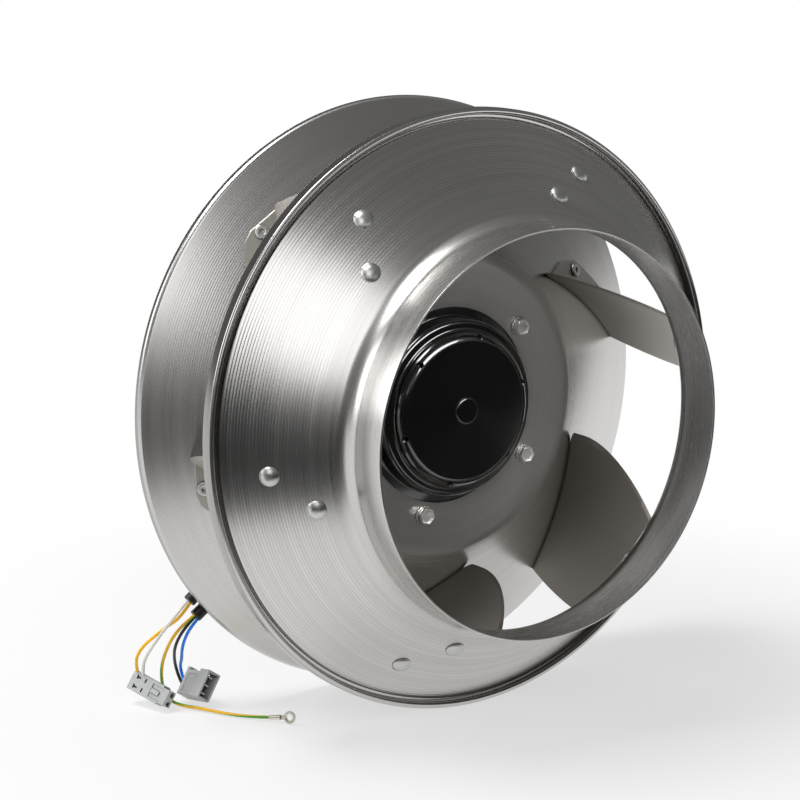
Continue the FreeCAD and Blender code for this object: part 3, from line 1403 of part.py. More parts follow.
def make_control_plug():
    """Two-way connector: a flat block with a narrower nose, key slots and a latch window."""
    length = D.control_plug_length.number
    width = D.control_plug_width.number
    thick = D.control_plug_thickness.number
    face = thick / 2
    nose = D.control_nose_length.number
    long_side = D.key_slot_long.number
    short_side = D.key_slot_short.number
    sunk = D.key_slot_depth.number * 2
    block = box_at(length, width, thick, ORIGIN)
    for side in (-1, 1):
        block = block.cut(box_at(nose, D.control_nose_step.number * 2, thick + TOOL_SPARE,
                                 Vector(length / 2 - nose / 2, side * width / 2, 0)))
    edges = [edge for edge in block.Edges if edge.Length > thick - TOUCH]
    block = block.makeChamfer(D.control_plug_bevel.number, edges)
    for side in (-1, 1):
        across = side * width / 4
        key_x = -length / 2 + D.key_slot_start.number
        slots = (box_at(short_side, long_side, sunk, Vector(key_x, across, face)),
                 box_at(long_side, short_side, sunk, Vector(key_x + long_side / 2, across, face)),
                 box_at(short_side, long_side, sunk,
                        Vector(key_x + D.key_slot_pitch.number, across, face)))
        for slot in slots:
            block = block.cut(slot)
    window_length = D.latch_window_length.number
    window = box_at(window_length, width - D.latch_window_margin.number * 2,
                    D.latch_window_depth.number * 2, Vector(length / 2 - window_length, 0, face))
    latch = box_at(D.latch_length.number, D.latch_width.number, D.latch_height.number,
                   Vector(length / 2 - D.latch_place.number, 0, face - D.latch_window_depth.number))
    block = block.cut(window).fuse(latch).removeSplitter()
    seat_radius = (D.contact_radius + D.contact_fit).number
    depth = D.contact_depth.number
    sink = D.contact_sink.number
    bore = rod(D.contact_bore, D.contact_floor.number, depth + TOOL_SPARE)
    tube = rod(D.contact_radius, 0, depth).cut(bore)
    contacts = []
    for side in (-1, 1):
        mouth = Placement(Vector(length / 2 - depth - sink, side * D.contact_pitch.number / 2,
                                 -D.contact_drop.number), Rotation(Vector(0, 1, 0), 90))
        block = block.cut(placed(Part.makeCylinder(seat_radius, depth + sink + TOOL_SPARE), mouth))
        contacts.append(placed(tube, mouth))
    place = lying(CONTROL_PLUG_CENTRE, CONTROL_PLUG_LENGTH, CONTROL_PLUG_WIDTH)
    keep("control_connector", part_feature("control_connector", block, place), standing=False)
    keep("control_contacts", part_feature("control_contacts", Part.makeCompound(contacts), place),
         standing=False)


def make_power_plug():
    """Mains connector: a block with an open rectangular hood and three flat contacts."""
    length = D.power_plug_length.number
    width = D.power_plug_width.number
    thick = D.power_plug_thickness.number
    wall = D.power_plug_wall.number
    hood = D.power_plug_hood.number
    foot = D.power_plug_foot.number
    waist = length - hood - foot
    waist_middle = -length / 2 + waist / 2 + foot
    block = box_at(length, width, thick, ORIGIN)
    relief = box_at(waist, D.power_plug_shoulder.number * 2, thick + TOOL_SPARE,
                    Vector(waist_middle, width / 2, 0))
    block = block.cut(relief)
    field = box_at(waist - D.power_plug_shoulder.number, D.power_plug_field.number,
                   D.power_plug_field_depth.number * 2,
                   Vector(waist_middle, -D.power_plug_shoulder.number / 2, thick / 2))
    block = block.cut(field)
    edges = [edge for edge in block.Edges if edge.Length > length - foot]
    block = block.makeChamfer(D.power_plug_bevel.number, edges)
    block = block.cut(box_at(hood * 2, width - 2 * wall, thick - 2 * wall, Vector(length / 2, 0, 0)))
    contacts = []
    contact_count = 3
    pitch = (width - 2 * wall) / contact_count
    contact_length = D.blade_contact_length.number
    for place_across in (-pitch, 0, pitch):
        contacts.append(box_at(contact_length, D.blade_contact_thickness.number,
                               D.blade_contact_width.number,
                               Vector(length / 2 - hood + contact_length / 2 + D.seam.number,
                                      place_across, 0)))
    place = lying(POWER_PLUG_CENTRE, POWER_PLUG_LENGTH, POWER_PLUG_WIDTH)
    keep("power_connector", part_feature("power_connector", block, place), standing=False)
    keep("power_contacts", part_feature("power_contacts", Part.makeCompound(contacts), place),
         standing=False)


def make_earth_lug():
    """Ring terminal: a flat eye on a crimp barrel that starts at the conductor's end."""
    wire_end = Vector(*CORD_ROUTES["earth_core"][-1])
    along = (LUG_EYE_CENTRE - wire_end).normalize()
    face = (LUG_FACE - along * LUG_FACE.dot(along)).normalize()
    reach = (LUG_EYE_CENTRE - wire_end).Length
    metal = D.lug_metal.number
    barrel_length = D.lug_barrel_length.number
    eye = Part.makeCylinder(D.lug_radius.number, metal, Vector(0, 0, -metal / 2))
    # The neck runs a little way into the barrel, so that the two join.
    neck_length = reach - barrel_length + metal
    neck = box_at(neck_length, D.lug_neck_width.number, metal, Vector(-neck_length / 2, 0, 0))
    barrel = Part.makeCylinder(D.lug_barrel_radius.number, barrel_length, Vector(-reach, 0, 0),
                               Vector(1, 0, 0))
    lug = eye.fuse(neck).fuse(barrel)
    lug = lug.cut(rod(D.lug_hole_radius, -metal, metal)).removeSplitter()
    place = Placement(LUG_EYE_CENTRE, Rotation(along, face.cross(along), face, "XZY"))
    keep("earth_lug", part_feature("earth_lug", lug, place), standing=False)


def build():
    make_shroud()
    make_disc()
    make_blades()
    make_rivets()
    make_hub_bolts()
    make_rotor()
    make_magnets()
    make_shaft()
    make_bearing("front_bearing", D.front_bearing_start)
    make_bearing("rear_bearing", D.rear_bearing_start)
    make_spring()
    make_pot()
    make_electronics()
    make_glands()
    make_stator()
    make_cables()
    make_control_plug()
    make_power_plug()
    make_earth_lug()


def check_and_write():
    doc.recompute()
    for item in doc.Objects:
        bad = [state for state in item.State if state in ("Invalid", "Error")]
        if bad:
            raise RuntimeError(f"{item.Label} is {bad}")
    os.makedirs("parts", exist_ok=True)
    for name, piece in NODES.items():
        shape = piece.Shape
        if shape.isNull() or not shape.isValid() or not shape.Solids:
            raise RuntimeError(f"{name} has no valid solid")
        shape.exportStep(f"parts/{name}.step")
    print(f"{len(NODES)} nodes written")


build()
check_and_write()
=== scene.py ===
# Looks of the motorised impeller: spun aluminium cones, sheet blades, black motor, two loose leads.
# Shapes are written in millimetres. A station is a distance forward of the motor's mounting face,
# along -Y, and a bearing is an angle about the wheel's axis from +X towards +Z.

import json
import math

import bpy
from mathutils import Matrix, Vector


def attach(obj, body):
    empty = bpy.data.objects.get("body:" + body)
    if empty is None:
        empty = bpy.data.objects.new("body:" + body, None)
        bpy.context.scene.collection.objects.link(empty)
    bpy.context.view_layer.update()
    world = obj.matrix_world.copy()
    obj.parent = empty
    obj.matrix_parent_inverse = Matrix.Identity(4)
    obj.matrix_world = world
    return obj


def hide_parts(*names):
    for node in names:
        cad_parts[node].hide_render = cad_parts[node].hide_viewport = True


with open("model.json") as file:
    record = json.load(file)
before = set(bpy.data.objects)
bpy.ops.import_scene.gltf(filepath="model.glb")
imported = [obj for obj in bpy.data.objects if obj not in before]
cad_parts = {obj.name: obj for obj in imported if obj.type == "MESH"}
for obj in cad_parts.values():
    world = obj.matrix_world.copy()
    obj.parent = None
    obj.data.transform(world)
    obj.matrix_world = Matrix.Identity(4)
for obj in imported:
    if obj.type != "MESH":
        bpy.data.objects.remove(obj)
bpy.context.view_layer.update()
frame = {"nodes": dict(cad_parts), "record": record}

MM = 0.001
FULL_TURN = 2 * math.pi
QUARTER_TURN = math.pi / 2
FORWARD = Vector((0, -1, 0))
AXLE = -FORWARD
TOUCH = 1e-6
LATHE_STEPS = 256
SMOOTH_ANGLE = math.radians(35)

# Wheel sizes

SHEET = 1.5
CUT_EDGE = 0.4
TRIMMED_EDGE = 0.3
NECK_RADIUS = 132.7
NECK_RIM = 195.3
MOUTH_RADIUS = 193
MOUTH_STATION = 106.2
MOUTH_ROUND = 0.9
SHROUD_SLOPE = 0.91
THROAT_ROUND = 20
GROOVE_OUT = 195.4
GROOVE_FLOOR = 101
GROOVE_ROUND = 0.5
LIP_RADIUS = 200
LIP_CREST = 107.5
LIP_EDGE = 98.5
LIP_ROUND = 2.1
HUB_STATION = 78
HUB_HOLE = 66
KINK_RADIUS = 100
KINK_ROUND = 14
DISC_SLOPE = 0.59
DISC_RADIUS = 200.8
RIM_EDGE = 13.5
RIM_ROUND = 4.5
SHROUD_LEAN = math.degrees(math.atan(SHROUD_SLOPE))
DISC_LEAN = math.degrees(math.atan(DISC_SLOPE))


def shroud_front(radius):
    return MOUTH_STATION + SHROUD_SLOPE * (MOUTH_RADIUS - radius)


def shroud_back(radius):
    return shroud_front(radius) - SHEET * math.hypot(1, SHROUD_SLOPE)


def disc_front(radius):
    return HUB_STATION - DISC_SLOPE * (radius - KINK_RADIUS)


def disc_back(radius):
    return disc_front(radius) - SHEET * math.hypot(1, DISC_SLOPE)


# Camera and lamps, in metres

CAMERA_PLACE = Vector((-1.0409, -1.5509, 0.3793))
CAMERA_LOOK = Vector((0.5510, 0.8092, -0.2040))
LENS = 124.69
SENSOR = 36
WHEEL_MIDDLE = Vector((0, -0.1, 0))

# Each soft box: its direction from the wheel's middle, distance, width, height and watts
STUDIO_LAMPS = {
    "key_box": ((-0.643, -0.579, 0.5), 1.6, 0.8, 1.05, 4.5),
    "top_box": ((-0.38, 0.2, 0.9), 2.0, 0.9, 0.9, 26),
    "rear_box": ((0.12, 0.97, 0.22), 1.8, 0.7, 0.7, 9),
    "left_box": ((-0.87, 0.5, 0.35), 1.5, 0.7, 0.7, 5),
}
MOTOR_LAMP = ((0.14, -0.81, 0.57), 1.5, 1.1, 0.8, 26)


def set_camera():
    data = bpy.data.cameras.new("camera")
    data.lens = LENS
    data.sensor_width = SENSOR
    camera = bpy.data.objects.new("camera", data)
    bpy.context.scene.collection.objects.link(camera)
    camera.location = CAMERA_PLACE
    camera.rotation_euler = CAMERA_LOOK.to_track_quat("-Z", "Y").to_euler()
    bpy.context.scene.camera = camera


def add_lamp(name, direction, distance, width, height, watts):
    """A soft box that looks at the wheel."""
    data = bpy.data.lights.new(name, "AREA")
    data.shape = "RECTANGLE"
    data.size = width
    data.size_y = height
    data.energy = watts
    lamp = bpy.data.objects.new(name, data)
    bpy.context.scene.collection.objects.link(lamp)
    towards = Vector(direction).normalized()
    lamp.location = WHEEL_MIDDLE + towards * distance
    lamp.rotation_euler = (-towards).to_track_quat("-Z", "Y").to_euler()
    return lamp


def set_lamps(motor_front):
    """The studio's soft boxes, and one that lights only the motor's front pieces."""
    for name, settings in STUDIO_LAMPS.items():
        add_lamp(name, *settings)
    motor_lamp = add_lamp("motor_box", *MOTOR_LAMP)
    lit = bpy.data.collections.new("motor_box_pieces")
    for piece in motor_front:
        lit.objects.link(piece)
    motor_lamp.light_linking.receiver_collection = lit


# Material tools

def colour(code):
    """Linear colour from an sRGB hex value."""
    parts = [int(code[place:place + 2], 16) / 255 for place in (1, 3, 5)]
    linear = [part / 12.92 if part <= 0.04045 else ((part + 0.055) / 1.055) ** 2.4 for part in parts]
    return (*linear, 1)


def feed(tree, node, inputs):
    """Set a node's inputs. Each is a value, another node's output, or a node for its first output."""
    for name, value in inputs.items():
        if isinstance(value, bpy.types.Node):
            value = value.outputs[0]
        if isinstance(value, bpy.types.NodeSocket):
            tree.links.new(value, node.inputs[name])
        else:
            node.inputs[name].default_value = value


def add_node(tree, kind, settings, inputs, stops=()):
    """Add a node with its settings and inputs, and a colour ramp also with (place, hex) stops."""
    made = tree.nodes.new(kind)
    for name, value in settings.items():
        setattr(made, name, value)
    feed(tree, made, inputs)
    if stops:
        elements = made.color_ramp.elements
        while len(elements) < len(stops):
            elements.new(1)
        for element, (place, code) in zip(elements, stops):
            element.position = place
            element.color = colour(code)
    return made


def new_material(name):
    material = bpy.data.materials.new(name)
    material.use_nodes = True
    return material, material.node_tree, material.node_tree.nodes["Principled BSDF"]


# Spun aluminium

# Real spinning lines are a few hundredths of a millimetre apart. The fine rings are drawn coarser,
# so that they show.
FINE_RINGS = 0.55
ROLLER_WANDER = 9
TONE_BANDS = 4
WANDER_TURNS = 2.5
FINE_SHARE = 0.2
GROOVE_TONE = 0.11
FINE_TONE = 0.3
BAND_TONE = 0.35
BURNISHED = 1.45
# Dark grey of the painted shade on the outermost wall of the lip and rim
PAINTED_SHADE_GREY = "#6E6C69"


def lathe_place_nodes(tree, slope):
    """Radius, distance along a cone of that slope, and the direction about the axle."""
    place = add_node(tree, "ShaderNodeTexCoord", {}, {}).outputs["Object"]
    parts = add_node(tree, "ShaderNodeSeparateXYZ", {}, {0: place}).outputs
    flat = add_node(tree, "ShaderNodeCombineXYZ", {}, {0: parts["X"], 2: parts["Z"]})
    radius = add_node(tree, "ShaderNodeVectorMath", {"operation": "LENGTH"}, {0: flat}).outputs["Value"]
    around = add_node(tree, "ShaderNodeVectorMath", {"operation": "NORMALIZE"}, {0: flat})
    length = math.hypot(1, slope)
    out = add_node(tree, "ShaderNodeMath", {"operation": "MULTIPLY"}, {0: radius, 1: 1 / length})
    run = add_node(tree, "ShaderNodeMath", {"operation": "MULTIPLY_ADD"},
                   {0: parts["Y"], 1: slope / length, 2: out})
    return radius, run, around


def ring_noise(tree, run, around, pitch, swing, detail):
    """Noise that runs in rings: quick along the cone, slow about the axle."""
    slow = add_node(tree, "ShaderNodeVectorMath", {"operation": "SCALE"}, {0: around, "Scale": swing})
    quick = add_node(tree, "ShaderNodeMath", {"operation": "MULTIPLY"}, {0: run, 1: 1 / (pitch * MM)})
    return add_node(tree, "ShaderNodeTexNoise", {"noise_dimensions": "4D"},
                    {"Vector": slow, "W": quick, "Scale": 1.0, "Detail": detail})


def roller_grooves(tree, run, around, bands, pitch):
    """One wave for each turn of the roller. It wanders a little, and some bands are shallower."""
    wander = ring_noise(tree, run, around, ROLLER_WANDER, 0.7, 2.0)
    turns = add_node(tree, "ShaderNodeMath", {"operation": "MULTIPLY"},
                     {0: run, 1: FULL_TURN / (pitch * MM)})
    phase = add_node(tree, "ShaderNodeMath", {"operation": "MULTIPLY_ADD"},
                     {0: wander, 1: WANDER_TURNS, 2: turns})
    wave = add_node(tree, "ShaderNodeMath", {"operation": "SINE"}, {0: phase})
    uneven = add_node(tree, "ShaderNodeMapRange", {},
                      {"Value": bands, "From Min": 0.35, "From Max": 0.65, "To Min": 0.8})
    return add_node(tree, "ShaderNodeMath", {"operation": "MULTIPLY"}, {0: wave, 1: uneven})


def spun_aluminium(name, slope, tones, roughness, stretch, pitch, depth, smooth_to, rolled_to, film,
                   film_fade, painted_shade_from):
    """Soft aluminium sheet spun over a former. The roller leaves one groove for each turn, with finer
    rings between, so each highlight is stretched across them into a fan. The grooves run from the
    radius smooth_to, inside which the sheet was burnished, out to rolled_to. A dull film lies on the
    sheet inside the film_fade radii, and outside painted_shade_from its colour is painted half way to
    a dark grey, as painted shade on the outermost wall."""
    material, tree, shader = new_material(name)
    radius, run, around = lathe_place_nodes(tree, slope)
    fine = ring_noise(tree, run, around, FINE_RINGS, 1.2, 2.0)
    bands = ring_noise(tree, run, around, TONE_BANDS, 0.5, 3.0)
    groove = roller_grooves(tree, run, around, bands, pitch)
    inner = add_node(tree, "ShaderNodeMapRange", {"interpolation_type": "SMOOTHSTEP"},
                     {"Value": radius, "From Min": smooth_to * MM, "From Max": (smooth_to + 3) * MM})
    outer = add_node(tree, "ShaderNodeMapRange", {},
                     {"Value": radius, "From Min": (rolled_to - 3) * MM, "From Max": rolled_to * MM,
                      "To Min": 1.0, "To Max": 0.0})
    mask = add_node(tree, "ShaderNodeMath", {"operation": "MULTIPLY"}, {0: inner, 1: outer})
    relief = add_node(tree, "ShaderNodeMath", {"operation": "MULTIPLY_ADD"},
                      {0: fine, 1: FINE_SHARE, 2: groove})
    height = add_node(tree, "ShaderNodeMath", {"operation": "MULTIPLY"}, {0: relief, 1: mask})
    bump = add_node(tree, "ShaderNodeBump", {},
                    {"Strength": 1.0, "Distance": depth * MM, "Height": height})
    soft = add_node(tree, "ShaderNodeMath", {"operation": "MULTIPLY"}, {0: bands, 1: BAND_TONE})
    grain = add_node(tree, "ShaderNodeMath", {"operation": "MULTIPLY_ADD"},
                     {0: fine, 1: FINE_TONE, 2: soft})
    lines = add_node(tree, "ShaderNodeMath", {"operation": "MULTIPLY"}, {0: groove, 1: mask})
    tone = add_node(tree, "ShaderNodeMath", {"operation": "MULTIPLY_ADD"},
                    {0: lines, 1: GROOVE_TONE, 2: grain})
    rolled = add_node(tree, "ShaderNodeValToRGB", {}, {"Fac": tone},
                      [(0.1, tones[0]), (0.55, tones[1])])
    # Painted shade: near the outermost radius the colour is mixed half way to a dark grey, on the outer
    # wall of the lip and rim
    edge_shade = add_node(tree, "ShaderNodeMapRange", {},
                    {"Value": radius, "From Min": painted_shade_from * MM, "From Max": (painted_shade_from + 0.5) * MM,
                     "To Max": 0.5})
    metal = add_node(tree, "ShaderNodeMix", {"data_type": "RGBA"},
                     {"Factor": edge_shade, 6: rolled, 7: colour(PAINTED_SHADE_GREY)})
    rough = add_node(tree, "ShaderNodeMapRange", {},
                     {"Value": bands, "From Min": 0.3, "From Max": 0.7, "To Min": roughness * 0.95,
                      "To Max": roughness * 1.05})
    burnish = add_node(tree, "ShaderNodeMath", {"operation": "MULTIPLY"}, {0: rough, 1: BURNISHED})
    gloss = add_node(tree, "ShaderNodeMix", {}, {"Factor": inner, 2: burnish, 3: rough})
    fan = add_node(tree, "ShaderNodeMapRange", {},
                   {"Value": inner, "To Min": stretch * 0.5, "To Max": stretch})
    dulled = add_node(tree, "ShaderNodeMapRange", {},
                      {"Value": radius, "From Min": film_fade[0] * MM, "From Max": film_fade[1] * MM,
                       "To Min": film, "To Max": 1.0})
    tangent = add_node(tree, "ShaderNodeTangent", {"direction_type": "RADIAL", "axis": "Y"}, {})
    feed(tree, shader, {"Base Color": metal.outputs[2], "Metallic": dulled, "Roughness": gloss,
                        "Anisotropic": fan, "Tangent": tangent, "Normal": bump})
    return material


def shroud_aluminium():
    """The inlet cone: deep, evenly spaced roller grooves, which glint as a record's do."""
    return spun_aluminium("spun_aluminium_shroud", SHROUD_SLOPE, ("#BAB8B5", "#DEDCDA"),
                          roughness=0.19, stretch=0.92, pitch=2.0, depth=0.016, smooth_to=146,
                          rolled_to=MOUTH_RADIUS + 1, film=0.72,
                          film_fade=(NECK_RADIUS - 1.2, NECK_RADIUS - 0.4), painted_shade_from=LIP_RADIUS - 0.8)


def disc_aluminium():
    """The back plate: closer and shallower grooves, and a dull flat ring round the hub."""
    return spun_aluminium("spun_aluminium_disc", DISC_SLOPE, ("#C2C0BE", "#D6D4D2"),
                          roughness=0.26, stretch=0.8, pitch=1.6, depth=0.006,
                          smooth_to=KINK_RADIUS + 4, rolled_to=196, film=0.45,
                          film_fade=(KINK_RADIUS - 4, KINK_RADIUS + 18), painted_shade_from=DISC_RADIUS - 0.5)


# Other materials

def plain_material(name, code, metallic, roughness, grain, depth):
    """A surface of one colour with the fine unevenness of its making, in millimetres. Grain that is
    finer than about half a millimetre is drawn that coarse, so that it shows."""
    material, tree, shader = new_material(name)
    place = add_node(tree, "ShaderNodeTexCoord", {}, {}).outputs["Object"]
    noise = add_node(tree, "ShaderNodeTexNoise", {},
                     {"Vector": place, "Scale": 1 / (grain * MM), "Detail": 3.0})
    bump = add_node(tree, "ShaderNodeBump", {},
                    {"Strength": 1.0, "Distance": depth * MM, "Height": noise})
    rough = add_node(tree, "ShaderNodeMapRange", {},
                     {"Value": noise, "From Min": 0.3, "From Max": 0.7, "To Min": roughness * 0.85,
                      "To Max": roughness * 1.15})
    feed(tree, shader, {"Base Color": colour(code), "Metallic": metallic, "Roughness": rough,
                        "Normal": bump})
    return material


# Near black of the painted shade, deepest in a recess
PAINTED_SHADE_DARK = "#0A0A0A"
SATIN_GRAIN = 0.6
SATIN_DEPTH = 0.01


def painted_shade_material(name, code, shade, metallic, roughness, reach):
    """A satin surface with painted shade: its colour goes dark where another face stands close, within
    reach millimetres.
    """
    material, tree, shader = new_material(name)
    place = add_node(tree, "ShaderNodeTexCoord", {}, {}).outputs["Object"]
    noise = add_node(tree, "ShaderNodeTexNoise", {},
                     {"Vector": place, "Scale": 1 / (SATIN_GRAIN * MM), "Detail": 3.0})
    bump = add_node(tree, "ShaderNodeBump", {},
                    {"Strength": 1.0, "Distance": SATIN_DEPTH * MM, "Height": noise})
    # Painted shade: ambient occlusion darkens the colour where other faces stand close
    unshaded_share = add_node(tree, "ShaderNodeAmbientOcclusion", {"samples": 8},
                          {"Distance": reach * MM}).outputs["AO"]
    tone = add_node(tree, "ShaderNodeValToRGB", {}, {"Fac": unshaded_share},
                    [(0.1, PAINTED_SHADE_DARK), (0.6, shade), (0.88, code)])
    feed(tree, shader, {"Base Color": tone, "Metallic": metallic, "Roughness": roughness,
                        "Normal": bump})
    return material


EARTH_YELLOW = "#F8C01E"
EARTH_GREEN = "#55A52C"
STRIPE_TURNS = 1.6


def striped_insulation(name):
    """Extruded PVC of the earth core: green, with a yellow stripe that winds slowly round it."""
    material, tree, shader = new_material(name)
    place = add_node(tree, "ShaderNodeTexCoord", {}, {}).outputs["UV"]
    parts = add_node(tree, "ShaderNodeSeparateXYZ", {}, {0: place}).outputs
    wound = add_node(tree, "ShaderNodeMath", {"operation": "MULTIPLY_ADD"},
                     {0: parts["X"], 1: STRIPE_TURNS, 2: parts["Y"]})
    turn = add_node(tree, "ShaderNodeMath", {"operation": "FRACT"}, {0: wound})
    stripe = add_node(tree, "ShaderNodeValToRGB", {}, {"Fac": turn},
                      [(0.0, EARTH_YELLOW), (0.46, EARTH_YELLOW), (0.5, EARTH_GREEN),
                       (0.96, EARTH_GREEN), (1.0, EARTH_YELLOW)])
    feed(tree, shader, {"Base Color": stripe, "Roughness": 0.35})
    return material


def gloss_enamel(name):
    """Black stoving enamel: an even, wet-looking skin."""
    material, tree, shader = new_material(name)
    feed(tree, shader, {"Base Color": colour("#030303"), "Roughness": 0.22, "Coat Weight": 1.0,
                        "Coat IOR": 1.8, "Coat Roughness": 0.09})
    return material


def make_finishes():
    """The finish of each slot, apart from the two spun cones."""
    return {
        # Pressed aluminium rivet: a smooth, slightly matt dome
        "rivet_aluminium": plain_material("pressed_aluminium", "#CFCFCC", 1.0, 0.38, 3, 0.01),
        # Zinc plate on steel: pale and bright, with painted shade down in the recess of the screw and
        # where it meets its washer
        "zinc_steel": painted_shade_material("zinc_plate", "#E6E4E0", "#8E8C88", 0.85, 0.3, 1.6),
        # Rolled aluminium sheet: satin and a little warm, with painted shade along the seam with its
        # cone
        "blade_aluminium": painted_shade_material("rolled_aluminium", "#BAB6AF", "#A8A49D", 1.0, 0.46, 3),
        "black_enamel": gloss_enamel("black_enamel"),
        # Pressure die-cast aluminium: dull, with an uneven skin
        "cast_aluminium": plain_material("die_cast_aluminium", "#A9A9A8", 1.0, 0.5, 0.9, 0.05),
        # Moulded black nylon: satin black of the glands
        "black_plastic": plain_material("moulded_black_nylon", "#141415", 0.0, 0.5, 0.7, 0.02),
        # Moulded grey nylon: satin, with painted shade in the slots where the contacts go in
        "grey_plastic": painted_shade_material("moulded_grey_nylon", "#BABCBD", "#7A7C7D", 0.0, 0.42, 2.5),
        # Ground bearing steel: nearly a mirror
        "bearing_steel": plain_material("ground_bearing_steel", "#C4C6C8", 1.0, 0.2, 0.8, 0.005),
        # Tinned brass: bright, with a warm cast
        "tinned_brass": plain_material("tinned_brass", "#DEDACB", 1.0, 0.28, 0.6, 0.01),
        # Solder resist on the circuit board: glossy green
        "circuit_board": plain_material("solder_resist", "#1E5A33", 0.0, 0.35, 1, 0.01),
        # Moulded housings of the board's components: dark and half glossy
        "dark_plastic": plain_material("moulded_dark_plastic", "#26262A", 0.0, 0.4, 0.8, 0.02),
        # Stacked laminations: grey steel, lined by the edges of its sheets
        "core_steel": plain_material("stacked_laminations", "#6A6B6E", 1.0, 0.45, 0.5, 0.05),
        # White nylon: the warm, satin white of insulators and cages
        "white_nylon": plain_material("white_nylon", "#E2E0D8", 0.0, 0.5, 0.8, 0.02),
        # Enamelled copper wire: shiny and orange, ribbed by its turns
        "copper": plain_material("enamelled_copper", "#C46B3A", 1.0, 0.3, 0.6, 0.08),
        # Sintered ferrite: dull and nearly black
        "ferrite": plain_material("sintered_ferrite", "#2C2C2E", 0.0, 0.7, 0.5, 0.02),
        # Extruded PVC: a soft sheen on the sheath, a little glossier on the thin conductors
        "black_sheath": plain_material("pvc_sheath", "#121212", 0.0, 0.45, 0.8, 0.02),
        "white_insulation": plain_material("pvc_white", "#E9E6DF", 0.0, 0.35, 0.6, 0.01),
        "yellow_insulation": plain_material("pvc_yellow", "#FFC400", 0.0, 0.35, 0.6, 0.01),
        "black_insulation": plain_material("pvc_black", "#141414", 0.0, 0.35, 0.6, 0.01),
        "blue_insulation": plain_material("pvc_blue", "#0F86FF", 0.0, 0.35, 0.6, 0.01),
        "earth_insulation": striped_insulation("pvc_green_yellow"),
    }


# Modelling tools

def deselect():
    bpy.ops.object.select_all(action="DESELECT")


def make_active(piece):
    deselect()
    piece.select_set(True)
    bpy.context.view_layer.objects.active = piece


def pick_points(piece, wanted):
    """Select the vertices whose place passes the test, in edit mode."""
    bpy.ops.mesh.select_all(action="DESELECT")
    bpy.ops.object.mode_set(mode="OBJECT")
    for vertex in piece.data.vertices:
        vertex.select = wanted(vertex.co)
    bpy.ops.object.mode_set(mode="EDIT")


def at_places(*places):
    """A test for points that lie at one of the places."""
    return lambda spot: any((spot - place).length < TOUCH for place in places)


def draw_wire(name, places, closed):
    """A wire in edit mode through the places, extruded point by point."""
    deselect()
    bpy.ops.mesh.primitive_plane_add(size=MM)
    piece = bpy.context.object
    piece.name = name
    piece.data.name = name
    bpy.ops.object.mode_set(mode="EDIT")
    bpy.ops.mesh.select_mode(type="VERT")
    bpy.ops.mesh.select_all(action="SELECT")
    bpy.ops.mesh.merge(type="CENTER")
    bpy.ops.transform.translate(value=places[0])
    for here, there in zip(places, places[1:]):
        bpy.ops.mesh.extrude_vertices_move(TRANSFORM_OT_translate={"value": there - here})
    if closed:
        pick_points(piece, at_places(places[0], places[-1]))
        bpy.ops.mesh.edge_face_add()
    return piece


def round_corners(piece, corners, places, segments):
    """Round each corner that has a radius: the radius runs to the tangent points of its two sides."""
    count = len(corners)
    for index, corner in enumerate(corners):
        if len(corner) < 3:
            continue
        arrive = places[index] - places[index - 1]
        leave = places[(index + 1) % count] - places[index]
        setback = corner[2] * MM * math.tan(arrive.angle(leave) / 2)
        pick_points(piece, at_places(places[index]))
        steps = max(3, min(segments, int(4 + corner[2])))
        bpy.ops.mesh.bevel(offset_type="OFFSET", offset=setback, segments=steps, affect="VERTICES")


def finish_mesh(piece):
    """Merge doubles, turn the faces outwards and shade the round stretches smooth."""
    bpy.ops.mesh.select_all(action="SELECT")
    bpy.ops.mesh.remove_doubles(threshold=TOUCH)
    bpy.ops.mesh.normals_make_consistent(inside=False)
    bpy.ops.object.mode_set(mode="OBJECT")
    make_active(piece)
    bpy.ops.object.shade_smooth_by_angle(angle=SMOOTH_ANGLE)


def lathe_place(radius, station):
    return Vector((radius * MM, -station * MM, 0))


def turned(name, corners, steps=LATHE_STEPS, closed=True, segments=14):
    """Turn an outline of (radius, station, rounding) corners about the axle, as on a lathe."""
    places = [lathe_place(corner[0], corner[1]) for corner in corners]
    piece = draw_wire(name, places, closed)
    round_corners(piece, corners, places, segments)
    bpy.ops.mesh.select_all(action="SELECT")
    bpy.ops.mesh.spin(steps=steps, angle=FULL_TURN, center=(0, 0, 0), axis=AXLE)
    finish_mesh(piece)
    return piece


def axial_cylinder(name, sides, radius, depth, station):
    """A cylinder along the axle, with its middle at the station."""
    deselect()
    bpy.ops.mesh.primitive_cylinder_add(vertices=sides, radius=radius * MM, depth=depth * MM,
                                        location=FORWARD * station * MM,
                                        rotation=(QUARTER_TURN, 0, 0))
    piece = bpy.context.object
    piece.name = name
    bpy.ops.object.transform_apply(location=True, rotation=True, scale=True)
    return piece


def settle(piece, place):
    """Put the piece's mesh at its place and leave its object at the origin."""
    make_active(piece)
    piece.matrix_world = place
    bpy.ops.object.transform_apply(location=True, rotation=True, scale=True)


def perch(radius, bearing, station, lean=0, flip=False):
    """Place at a bearing on the wheel: the piece's forward side leans outwards by so many degrees."""
    swing = Matrix.Rotation(-math.radians(bearing), 4, "Y")
    move = Matrix.Translation(lathe_place(radius, station))
    tilt = Matrix.Rotation(math.radians(lean), 4, "Z")
    turn_over = Matrix.Rotation(math.pi, 4, "X") if flip else Matrix.Identity(4)
    return swing @ move @ tilt @ turn_over


def circle_places(count, radius, bearing, station):
    """Evenly spaced places on a circle, of which the first is at the bearing."""
    return [perch(radius, bearing + 360 / count * index, station) for index in range(count)]


